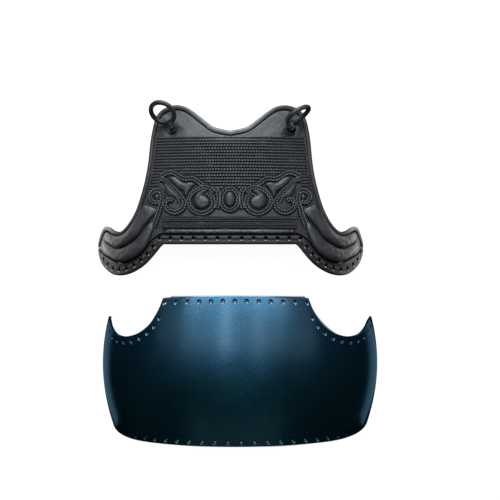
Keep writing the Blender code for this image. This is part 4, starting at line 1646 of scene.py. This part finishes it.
    def rolls(self, leather: Material, cord: Material) -> None:
        """The smooth ridge over the lacing band, two pipings and the two flat braids of straight cords.

        Args:
            leather: Finish of the ridge and the pipings.
            cord: Finish of the braids.
        """
        v, half, width, height = RIDGE_ROLL
        layout = Layout()
        padded_strip(layout, straight(v, half, width, height, 3.0), 14, crumple=0.14, shade=0.5)
        dressed(layout.mesh("ridge_roll_leather", self.form), (leather,), ("ridge_roll",))
        layout = Layout()
        for v, half, radius in PIPINGS:
            padded_strip(layout, straight(v, half, 2 * radius, 1.3 * radius), 6, crumple=0.10)
        dressed(layout.mesh("cross_pipings", self.form), (leather,))
        for name, lift in (("upper_braid", 0.0004), ("lower_braid", CORD_LIFT)):
            layout = Layout()
            lanes = [row[1:] for row in CROSS_CORDS if row[0] == name]
            middle = sum(v for v, _, _ in lanes) / len(lanes)
            # A strip under the braid, painted dark all over: painted shade.
            padded_strip(layout, straight(middle, lanes[0][1], 8.6, 0.30), 4, deep=1.0)
            for hand, (v, half, radius) in zip((-1, 1), lanes):
                route = resampled(np.array([(half * i / 20, v) for i in range(-20, 21)]) * MM, CORD_STEP)
                twisted(layout, route, False, 1, lift, radius * MM, hand)
            dressed(layout.mesh(name + "_cords", self.form), (cord,), (name,))

    def ribs(self, leather: Material) -> None:
        """The four padded ribs of the wings, steep towards the hem and gentle towards the rim.

        Args:
            leather: Their finish.
        """
        for side in Side:
            for word, table in (("upper", RIB_UPPER), ("lower", RIB_LOWER)):
                rows = spline(table, self.outline.steps) * MM
                lows, highs = rows[:, 0:2], rows[:, 2:4]
                along = unit_rows(highs - lows)
                lows, highs = lows - along * self.rib_over, highs + along * self.rib_over
                steps = np.arange(len(rows))
                fade = np.clip(np.minimum(steps, steps[::-1]) / 6.0, 0.05, 1.0)
                # Painted highlight towards the ears.
                lit = 0.9 * self.ear_light(highs[:, 0], highs[:, 1])
                layout = Layout()
                arched(layout, lows, highs, rows[:, 4] * np.sqrt(fade), 22, side.value, 0.05, RIB_SKEW, lit=lit)
                rib = layout.mesh(f"wing_rib_{word}_{side.word}_pad", self.form)
                dressed(rib, (leather,), (f"wing_rib_{word}_{side.word}",))


BEAD_RING = ((-1.0, -0.3), (-0.8, 0.6), (0.0, 1.0), (0.8, 0.6), (1.0, -0.3))
BEAD_LAYERS = ((-1.0, 0.35), (-0.78, 0.8), (-0.3, 1.0), (0.3, 1.0), (0.78, 0.8), (1.0, 0.35))
PAD_LAYERS = ((-1.0, 0.30), (-0.95, 0.72), (-0.85, 0.93), (-0.5, 1.0), (0.5, 1.0), (0.85, 0.93), (0.95, 0.72),
              (1.0, 0.30))
RIB_SKEW = 1.30
CORD_STEP = 0.0007
CORD_RADIUS = 0.0021
CORD_LIFT = 0.0014
CORD_PITCH = 0.0092
STRIP_STEPS = 60
PILLOW_STEP = 0.0008
UNDER_SURFACE = -0.0006


def bead(layout: Layout, place: Sequence[float], size: tuple[float, float, float], turn: float,
         layers: Sequence[tuple[float, float]] = BEAD_LAYERS) -> None:
    """Adds one small rounded bead lying on the leather.

    Args:
        layout: Where it is added.
        place: s, v and h of its foot's middle.
        size: Its length, its width and its height over its foot.
        turn: Its direction on the leather, in radians from s.
        layers: Its sections: way along it, -1 to 1, and the section's size.
    """
    length, width, height = size
    shape = np.array([
        [(way * length / 2, y * share * width / 2, z * share * height) for y, z in BEAD_RING] for way, share in layers
    ])
    c, s = math.cos(turn), math.sin(turn)
    turned = shape.copy()
    turned[..., 0] = shape[..., 0] * c - shape[..., 1] * s
    turned[..., 1] = shape[..., 0] * s + shape[..., 1] * c
    # Its top is painted lighter and its foot darker: painted highlight and shade.
    high = unit(shape[..., 2] / height)
    layout.tube(turned + np.array(place), high * 0.8, 1.0 - 1.4 * high)


def straight(v: float, half: float, width: float, height: float, taper: float = 0.0) -> Array:
    """Rows of a straight strip across the front, for padded_strip.

    Args:
        v: How far up it lies, in mm, like the next three.
        half: Half its length.
        width: Its width.
        height: Its height.
        taper: Steps over which its height falls off at each end.

    Returns:
        The rows, in metres.
    """
    steps = range(-STRIP_STEPS, STRIP_STEPS + 1)
    falls = [min(1.0, (STRIP_STEPS + 0.4 - abs(i)) / taper) if taper else 1.0 for i in steps]
    return np.array([(half * i / STRIP_STEPS, v, width, height * fall) for i, fall in zip(steps, falls)]) * MM


def arched(layout: Layout, lows: Array, highs: Array, heights: Array, across: int, side: int = 1,
           crumple: float = 0.0, skew: float = 1.0, deep: float = 0.0, lit: Array | float = 0.0,
           shade: float = 1.0) -> None:
    """Adds a padded strip between two flat lines.

    Args:
        layout: Where it is added.
        lows: Its lower edge, s and v.
        highs: Its upper edge.
        heights: Its height along the way.
        across: Steps across its rounded top.
        side: 1 for the right half, -1 for the left.
        crumple: Share of the height that creases take.
        skew: Over 1, its top lies nearer its lower edge.
        deep: Painted shade all over it.
        lit: Extra painted highlight along the way.
        shade: How dark its foot is, a painted shade.
    """
    turns = np.pi * np.arange(across + 1) / across
    over = ((1 - np.cos(turns)) / 2) ** skew
    under = np.array([0.96, 0.7, 0.3, 0.04])
    t = np.concatenate([over, under])
    lift = np.concatenate([np.sin(turns) ** 0.85, np.full(len(under), -1.0)])
    layers = np.empty((len(lows), len(t), 3))
    layers[..., :2] = lows[:, None, :] + (highs - lows)[:, None, :] * t[None, :, None]
    crease = 1.0 + crumple * ripple(layers[..., 0], layers[..., 1], 0.011, 0.9)
    raised = 0.0001 + heights[:, None] * np.maximum(lift, 0)[None, :] * crease
    layers[..., 2] = np.where(lift[None, :] < 0, UNDER_SURFACE, raised)
    layers[..., 0] *= side
    # Its top is painted lighter, a painted highlight; its foot, and a skewed strip's side towards its lower edge, are
    # painted shade.
    worn = 0.5 * unit(lift)[None, :] ** 3 + np.broadcast_to(lit, len(lows))[:, None] * t[None, :]
    foot = unit(1.0 - np.maximum(lift, 0.0) / 0.55)[None, :] * np.ones((len(lows), 1))
    steep = unit((0.30 - t) / 0.25)[None, :] * (0.75 if skew > 1.0 else 0.0)
    layout.tube(layers, worn, np.maximum(shade * np.maximum(foot, steep), deep))


def padded_strip(layout: Layout, rows: Array, across: int, side: int = 1, crumple: float = 0.0, deep: float = 0.0,
                 shade: float = 1.0) -> None:
    """Adds a padded strip along a middle line, from rows of s, v, width and height. The rest is as in arched."""
    lows, highs = inset(rows, -rows[:, 2] / 2), inset(rows, rows[:, 2] / 2)
    arched(layout, lows, highs, rows[:, 3], across, side, crumple, deep=deep, shade=shade)


def from_outline(points: Array, line: Array) -> tuple[Array, Array]:
    """Measures flat points against a closed line.

    Args:
        points: The points.
        line: The line, its first point not repeated.

    Returns:
        Each point's distance from the line, and whether it lies inside.
    """
    starts, ends = line, np.roll(line, -1, 0)
    sides = ends - starts
    gaps = points[:, None, :] - starts[None, :, :]
    along = unit((gaps * sides).sum(-1) / (sides * sides).sum(-1))
    away = np.linalg.norm(gaps - along[..., None] * sides, axis=2).min(axis=1)
    above = starts[None, :, 1] > points[:, None, 1]
    crosses = above != (ends[None, :, 1] > points[:, None, 1])
    rise = np.where(sides[:, 1] == 0.0, 1.0, sides[:, 1])
    reach = starts[None, :, 0] + gaps[..., 1] / rise * sides[:, 0]
    inside = (crosses & (points[:, None, 0] < reach)).sum(axis=1) % 2 == 1
    return away, inside


def pillow(layout: Layout, outline: Array, rise: float, edge: float, side: int = 1, crumple: float = 0.03) -> None:
    """Adds a padded shape that swells from its flat outline.

    Args:
        layout: Where it is added.
        outline: Its outline, s and v.
        rise: Its height.
        edge: Distance from the outline over which it rises.
        side: 1 for the right half, -1 for the left.
        crumple: Share of the height that creases take.
    """
    line = resampled(outline, PILLOW_STEP, closed=True)
    low, high = line.min(axis=0), line.max(axis=0)
    across, up = np.meshgrid(*(np.arange(start, end, PILLOW_STEP) for start, end in zip(low, high)))
    grid = np.stack([across.ravel(), up.ravel()], axis=1)
    away, inside = from_outline(grid, line)
    flat = np.vstack([line, grid[inside & (away > 0.5 * PILLOW_STEP)]])
    made = delaunay_2d_cdt([Vector(point) for point in flat], [], [list(range(len(line)))], 1, 1e-7)
    flat, faces = np.array([tuple(point) for point in made[0]]), made[2]
    away, _ = from_outline(flat, line)
    share = unit(away / edge)
    swell = 0.86 * np.sqrt(1.0 - (1.0 - share) ** 2) + 0.14 * away / away.max()
    h = 0.0002 + rise * swell * (1.0 + crumple * ripple(flat[:, 0], flat[:, 1], 0.013, 0.9))
    count = len(flat)
    flat = flat * (side, 1)
    rim: dict[tuple[int, int], None] = {}
    for face in faces:
        for a, b in zip(face, (*face[1:], face[0])):
            if (b, a) in rim:
                del rim[b, a]
            else:
                rim[a, b] = None
    closed = [tuple(face) for face in faces] + [tuple(k + count for k in reversed(face)) for face in faces]
    closed += [(b, a, a + count, b + count) for a, b in rim]
    points = np.vstack([np.column_stack([flat, h]), np.column_stack([flat, np.full(count, UNDER_SURFACE)])])
    # Its top is painted lighter, a painted highlight, and its foot and underside darker, a painted shade.
    worn = np.concatenate([0.6 * swell**2, np.zeros(count)])
    deep = np.concatenate([unit(1.0 - swell / 0.55), np.ones(count)])
    layout.add(points, closed, worn, deep)


def twisted(layout: Layout, route: Array, closed: bool, side: int, lift: float, radius: float, hand: int
            ) -> None:
    """Adds one cord of two twisted strands along a flat route.

    Args:
        layout: Where it is added.
        route: s and v along it, at even spacing.
        closed: Whether it is a ring.
        side: 1 for the right half, -1 for the left.
        lift: Height of its middle over the leather.
        radius: Radius of the whole cord.
        hand: 1 or -1, the way it twists.
    """
    way = ways_along(route)
    length = way[-1] + (np.linalg.norm(route[0] - route[-1]) if closed else 0.0)
    turns = max(round(length / CORD_PITCH), 1)
    strand = radius * 0.56
    ring = circle(6)
    for start in (0.0, math.pi):
        phase = hand * 2 * math.pi * turns * way / length + start
        aside = ((radius - strand) * np.cos(phase))[:, None] + strand * np.cos(ring)
        rise = lift + ((radius - strand) * np.sin(phase))[:, None] + strand * np.sin(ring)
        layers = swept(route, aside, rise, closed) * (side, 1, 1)
        # Each strand's top is painted lighter and its underside darker: painted highlight and shade.
        high = (layers[..., 2] - lift) / radius
        layout.tube(layers, unit(2.4 * high - 1.0), unit(1.0 - 1.6 * high), closed)


def double_cord(layout: Layout, rows: Sequence[tuple[float, float]], closed: bool, side: int = 1) -> None:
    """Adds two cords of opposite twist, side by side, on a strip painted dark under them, a painted shade.

    Args:
        layout: Where they are added.
        rows: Their middle line, s and v in mm.
        closed: Whether it is a ring.
        side: 1 for the right half, -1 for the left.
    """
    middle = resampled(spline(rows, 8, closed) * MM, CORD_STEP, closed)
    bed = np.vstack([middle, middle[:1]]) if closed else middle
    bed = np.column_stack([bed, np.full(len(bed), 5.8 * CORD_RADIUS), np.full(len(bed), 0.00035)])
    padded_strip(layout, bed[::2], 4, side, deep=1.0)
    for hand in (1, -1):
        line = resampled(inset(middle, hand * CORD_RADIUS * 0.98, closed), CORD_STEP, closed)
        twisted(layout, line, closed, side, CORD_LIFT, CORD_RADIUS, hand)


@dataclass
class CloudOrnament:
    """Padded leather shapes on the chest, each edged by a double twisted cord: egg, commas, crests and curls."""

    form: LeatherForm = LeatherForm()
    egg_half_width: float = 0.0096
    egg_half_height: float = 0.0129
    egg_v: float = 0.0694
    egg_rise: float = 0.0056
    egg_point: float = 0.16

    def egg(self, pad: Material) -> None:
        """The middle boss, narrower at the top.

        Args:
            pad: Its finish.
        """
        angles = circle(48)
        narrow = 1.0 - self.egg_point * np.maximum(np.sin(angles), 0.0) ** 2
        across = self.egg_half_width * np.cos(angles) * narrow
        up = self.egg_v + self.egg_half_height * np.sin(angles)
        layout = Layout()
        pillow(layout, np.stack([across, up], axis=1), self.egg_rise, 0.0080, crumple=0.01)
        egg = layout.mesh("egg_boss_pad", self.form, 70.0)
        dressed(egg, (pad,), ("egg_boss",))

    def shapes(self, pad: Material) -> None:
        """The padded shapes on each side of the egg.

        Args:
            pad: Their finish.
        """
        for side in Side:
            for name, rise, edge, outline in PADDED_SHAPES:
                layout = Layout()
                pillow(layout, spline(outline, 4, closed=True) * MM, rise * MM, edge * MM, side.value)
                shape = layout.mesh(f"{name}_{side.word}_pad", self.form, 70.0)
                dressed(shape, (pad,), (f"{name}_{side.word}",))

    def cords(self, cord: Material) -> None:
        """The double cords that edge the shapes.

        Args:
            cord: Their finish.
        """
        wide, high = EGG_CORD_HALF
        ring = [(wide * math.cos(turn), self.egg_v / MM - 0.4 + high * math.sin(turn)) for turn in circle(20)]
        layout = Layout()
        double_cord(layout, ring, True)
        dressed(layout.mesh("egg_cord", self.form), (cord,))
        for side in Side:
            layout = Layout()
            for route in (COMMA_CORD, CREST_CORD, CURL_CORD, SMALL_CURL_CORD, INNER_CORD):
                double_cord(layout, route, False, side.value)
            dressed(layout.mesh(f"ornament_cord_{side.word}", self.form), (cord,))
            layout = Layout()
            double_cord(layout, SIDE_CORD, False, side.value)
            dressed(layout.mesh(f"side_cord_{side.word}", self.form), (cord,), (f"side_braid_{side.word}",))


@dataclass
class ShoulderLoops:
    """Rolled leather loops that stand off the shoulders, their bound stems and the raised leather beside the holes."""

    form: LeatherForm = LeatherForm()
    radius: float = 0.0198
    tube: float = 0.0039
    steps: int = 96
    sides: int = 20
    stem_radius: float = 0.0036
    stem_over: float = 0.0045
    stem_under: float = -0.003
    welt_height: float = 0.0013
    wrap_thread: float = 0.0012
    wrap_turns: float = 4.0

    def build(self, leather: Material, panel: Material) -> None:
        """Makes both loops and the welts.

        Args:
            leather: The loops' finish.
            panel: The welts' finish.
        """
        for row in LOOPS:
            self.loop(row, leather)
        layout = Layout()
        for rows in WELTS:
            path = spline(rows, 8) * MM
            heights = np.full(len(path), self.welt_height)
            arched(layout, inset(path, -path[:, 2] / 2), inset(path, path[:, 2] / 2), heights, 8, 1, 0.05)
        dressed(layout.mesh("loop_hole_welts", self.form), (panel,))

    def axes(self, turn: float, tilt: float) -> tuple[Array, Array, Array]:
        """Works out how a ring stands.

        Args:
            turn: Turn of its long axis, in degrees.
            tilt: Its tilt, in degrees.

        Returns:
            Its long axis, its short axis and its facing.
        """
        turn, tilt = math.radians(turn), math.radians(tilt)
        long_axis = np.array([math.cos(turn), math.sin(turn), 0.0])
        level = np.array([-long_axis[1], long_axis[0], 0.0])
        short_axis = level * math.cos(tilt) + np.array([0.0, 0.0, math.sin(tilt)])
        return long_axis, short_axis, np.cross(long_axis, short_axis)

    def loop(self, row: tuple, leather: Material) -> None:
        """One ring of rolled leather, with the seam inside it, and the bound stem that goes into the hole.

        Args:
            row: The loop's row of LOOPS.
            leather: Its finish.
        """
        name, x, y, z, turn, tilt, hole_s, hole_v, stem_at = row
        centre = np.array([self.form.middle_x + x * MM, self.form.hem_y + y * MM, z * MM])
        long_axis, short_axis, facing = self.axes(turn, tilt)
        angles, ring = circle(self.steps), circle(self.sides)
        seam = np.exp(-(((ring - math.pi) / 0.22) ** 2))
        uneven = 1.0 + 0.03 * np.sin(3 * angles + 1.0) + 0.015 * np.sin(11 * angles)
        radii = self.tube * uneven[:, None] * (1.0 - 0.16 * seam[None, :] * (1 + 0.3 * np.cos(24 * angles))[:, None])
        spoke = long_axis * np.cos(angles)[:, None] + short_axis * np.sin(angles)[:, None]
        reach = self.radius + radii * np.cos(ring)[None, :]
        layers = centre + spoke[:, None, :] * reach[..., None] + facing * (radii * np.sin(ring)[None, :])[..., None]
        # The ring's outer side is painted lighter, a painted highlight, and its inner seam darker, a painted shade.
        worn = 0.8 * unit(np.cos(ring))
        layout = Layout().tube(layers, np.tile(worn, self.steps), np.tile(seam, self.steps), closed=True)
        at = math.radians(stem_at)
        start = centre + (long_axis * math.cos(at) + short_axis * math.sin(at)) * self.radius
        hole = np.array([[hole_s * MM, hole_v * MM, self.stem_over], [hole_s * MM, hole_v * MM, self.stem_under]])
        over, under = self.form(hole)
        route = spline([start, start + (over - start) * 0.5, over, under], 10)
        self.world_tube(layout, route, self.stem_radius, 16)
        self.binding(layout, route[4:], self.stem_radius + 0.6 * self.wrap_thread)
        dressed(layout.mesh(f"shoulder_loop_{name}_rolled", None), (leather,), (f"shoulder_loop_{name}",))

    def frames(self, route: Array) -> tuple[Array, Array]:
        """Two directions across a world route.

        Args:
            route: World points along it.

        Returns:
            Both directions at each point.
        """
        along = unit_rows(np.gradient(route, axis=0))
        one = unit_rows(np.cross(along, np.array([0.3, 0.9, 0.1])))
        return one, np.cross(along, one)

    def world_tube(self, layout: Layout, route: Array, radius: float, sides: int, worn: float = 0.0) -> None:
        """Adds a round tube along a world route.

        Args:
            layout: Where it is added.
            route: World points along it.
            radius: Its radius.
            sides: Its sides.
            worn: How much it shows wear and a painted highlight.
        """
        one, two = self.frames(route)
        ring = circle(sides)
        spokes = one[:, None, :] * np.cos(ring)[None, :, None] + two[:, None, :] * np.sin(ring)[None, :, None]
        layout.tube(route[:, None, :] + spokes * radius, worn)

    def binding(self, layout: Layout, route: Array, radius: float) -> None:
        """Adds a thong wound round the stem.

        Args:
            layout: Where it is added.
            route: World points along the stem.
            radius: Radius at which it winds.
        """
        fine = spline(route, 6)
        one, two = self.frames(fine)
        phase = 2 * math.pi * self.wrap_turns * np.linspace(0.0, 1.0, len(fine))
        wound = fine + (one * np.cos(phase)[:, None] + two * np.sin(phase)[:, None]) * radius
        self.world_tube(layout, wound, self.wrap_thread, 8, 0.8)


# Studio


DAYLIGHT = (0.93, 0.98, 1.07)
EDGE_BLUE = (0.35, 0.75, 1.10)


@dataclass(frozen=True)
class Softbox:
    """One rectangular light: where it stands, where it looks, its size and how bright its face is."""

    name: str
    place: tuple[float, float, float]
    target: tuple[float, float, float]
    size: tuple[float, float]
    radiance: float
    colour: Colour = DAYLIGHT

    def build(self) -> None:
        """Makes the light, unseen by the camera."""
        data = bpy.data.lights.new(self.name, "AREA")
        data.shape = "RECTANGLE"
        data.size, data.size_y = self.size
        data.color = self.colour
        data.energy = self.radiance * math.pi * self.size[0] * self.size[1]
        light = bpy.data.objects.new(self.name, data)
        light.location = self.place
        light.rotation_euler = (Vector(self.target) - Vector(self.place)).to_track_quat("-Z", "Y").to_euler()
        light.visible_camera = False
        bpy.context.scene.collection.objects.link(light)


@dataclass
class Studio:
    """Pale floor, soft light from over the neck side, and the camera straight above."""

    camera_place: tuple[float, float, float] = (0.0197, 0.0269, 1.800)
    frame_pixels: float = 500.0
    focal_pixels: float = 1102.0
    sensor: float = 36.0
    floor_half: float = 6.0
    ambient: float = 0.40
    lights: tuple[Softbox, ...] = (
        Softbox("key_over_neck", (-0.10, 0.44, 2.50), (-0.10, 0.0, 0.0), (3.6, 1.16), 0.92),
        Softbox("key_far_left", (-2.35, 0.44, 2.10), (-0.6, 0.0, 0.0), (0.9, 1.16), 0.4),
        Softbox("key_far_right", (2.25, 0.44, 2.20), (0.6, 0.0, 0.0), (1.3, 1.16), 0.45),
        Softbox("key_strip_left", (-0.30, 0.44, 2.45), (-0.30, 0.0, 0.0), (0.22, 1.16), 3.0),
        Softbox("key_strip_right", (0.66, 0.44, 2.45), (0.66, 0.0, 0.0), (0.24, 1.16), 1.5),
        Softbox("window_behind_neck", (-0.15, 2.95, 1.15), (0.0, 0.0, 0.0), (2.8, 2.2), 6.8),
        Softbox("window_left", (-2.3, 1.6, 0.9), (0.0, 0.1, 0.0), (1.4, 1.4), 0.8),
        Softbox("window_right", (2.3, 1.6, 0.9), (0.0, 0.1, 0.0), (1.4, 1.4), 0.8),
        Softbox("fill_front", (0.0, -1.60, 2.20), (0.0, 0.0, 0.0), (3.0, 1.2), 0.11),
        Softbox("key_top", (0.0, 0.84, 2.42), (0.0, 0.0, 0.0), (3.6, 0.30), 5.0),
        Softbox("card_left", (-0.350, 0.06, 0.003), (-0.350, 0.06, 1.0), (0.24, 0.16), 2.6, WHITE),
        Softbox("card_right", (0.330, 0.06, 0.003), (0.330, 0.06, 1.0), (0.24, 0.16), 2.6, WHITE),
        Softbox("edge_glow_left", (-0.247, -0.16, 0.002), (-0.247, -0.16, 1.0), (0.05, 0.22), 0.22, EDGE_BLUE),
        Softbox("edge_glow_right", (0.253, -0.16, 0.002), (0.253, -0.16, 1.0), (0.05, 0.22), 0.22, EDGE_BLUE),
    )

    def build(self, paper: Material) -> None:
        """Makes the floor, world, lights and camera.

        Args:
            paper: The floor's finish.
        """
        bpy.ops.object.select_all(action="DESELECT")
        bpy.ops.mesh.primitive_plane_add(size=2 * self.floor_half, location=(0.0, 0.0, 0.0))
        floor = bpy.context.active_object
        floor.name = "studio_floor"
        floor.data.transform(Matrix.Translation((0.0, 0.0, -0.0004)))
        floor.data.materials.append(paper)
        floor.visible_glossy = False
        for light in self.lights:
            light.build()
        scene = bpy.context.scene
        world = bpy.data.worlds.new("studio_world")
        world.use_nodes = True
        background = world.node_tree.nodes["Background"]
        background.inputs["Color"].default_value = (*WHITE, 1.0)
        background.inputs["Strength"].default_value = self.ambient
        world.cycles_visibility.glossy = False
        scene.world = world
        scene.view_settings.view_transform = "Standard"
        data = bpy.data.cameras.new("camera")
        data.sensor_width = self.sensor
        data.lens = self.focal_pixels * self.sensor / self.frame_pixels
        camera = bpy.data.objects.new("camera", data)
        camera.location = self.camera_place
        scene.collection.objects.link(camera)
        scene.camera = camera


def main() -> None:
    """Builds the studio and every sub-assembly, in order."""
    logging.basicConfig(level=logging.INFO, format="%(name)s: %(message)s")
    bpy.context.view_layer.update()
    Studio().build(FLOOR_PAPER.build())
    cord = CORD_COTTON.build()
    trim = TRIM_LEATHER.build()
    pad = PAD_LEATHER.build()
    panel_leather = PANEL_LEATHER.build()
    LacqueredShell().build(SHELL_LACQUER.build(), SHELL_BASE.build(), SHELL_CUT.build(), SHELL_EDGE.build())
    breastplate = Breastplate()
    breastplate.panel(panel_leather)
    breastplate.stitched_field(FIELD_LEATHER.build(), STITCH_THREAD.build())
    breastplate.rim(trim)
    breastplate.band(BAND_LEATHER.build(), LIP_GLINT.build(), SLOT_SHADE.build())
    breastplate.rolls(panel_leather, BRAID_COTTON.build())
    breastplate.ribs(panel_leather)
    ornament = CloudOrnament()
    ornament.egg(pad)
    ornament.shapes(pad)
    ornament.cords(cord)
    ShoulderLoops().build(LOOP_LEATHER.build(), panel_leather)


if __name__ == "__main__":
    main()
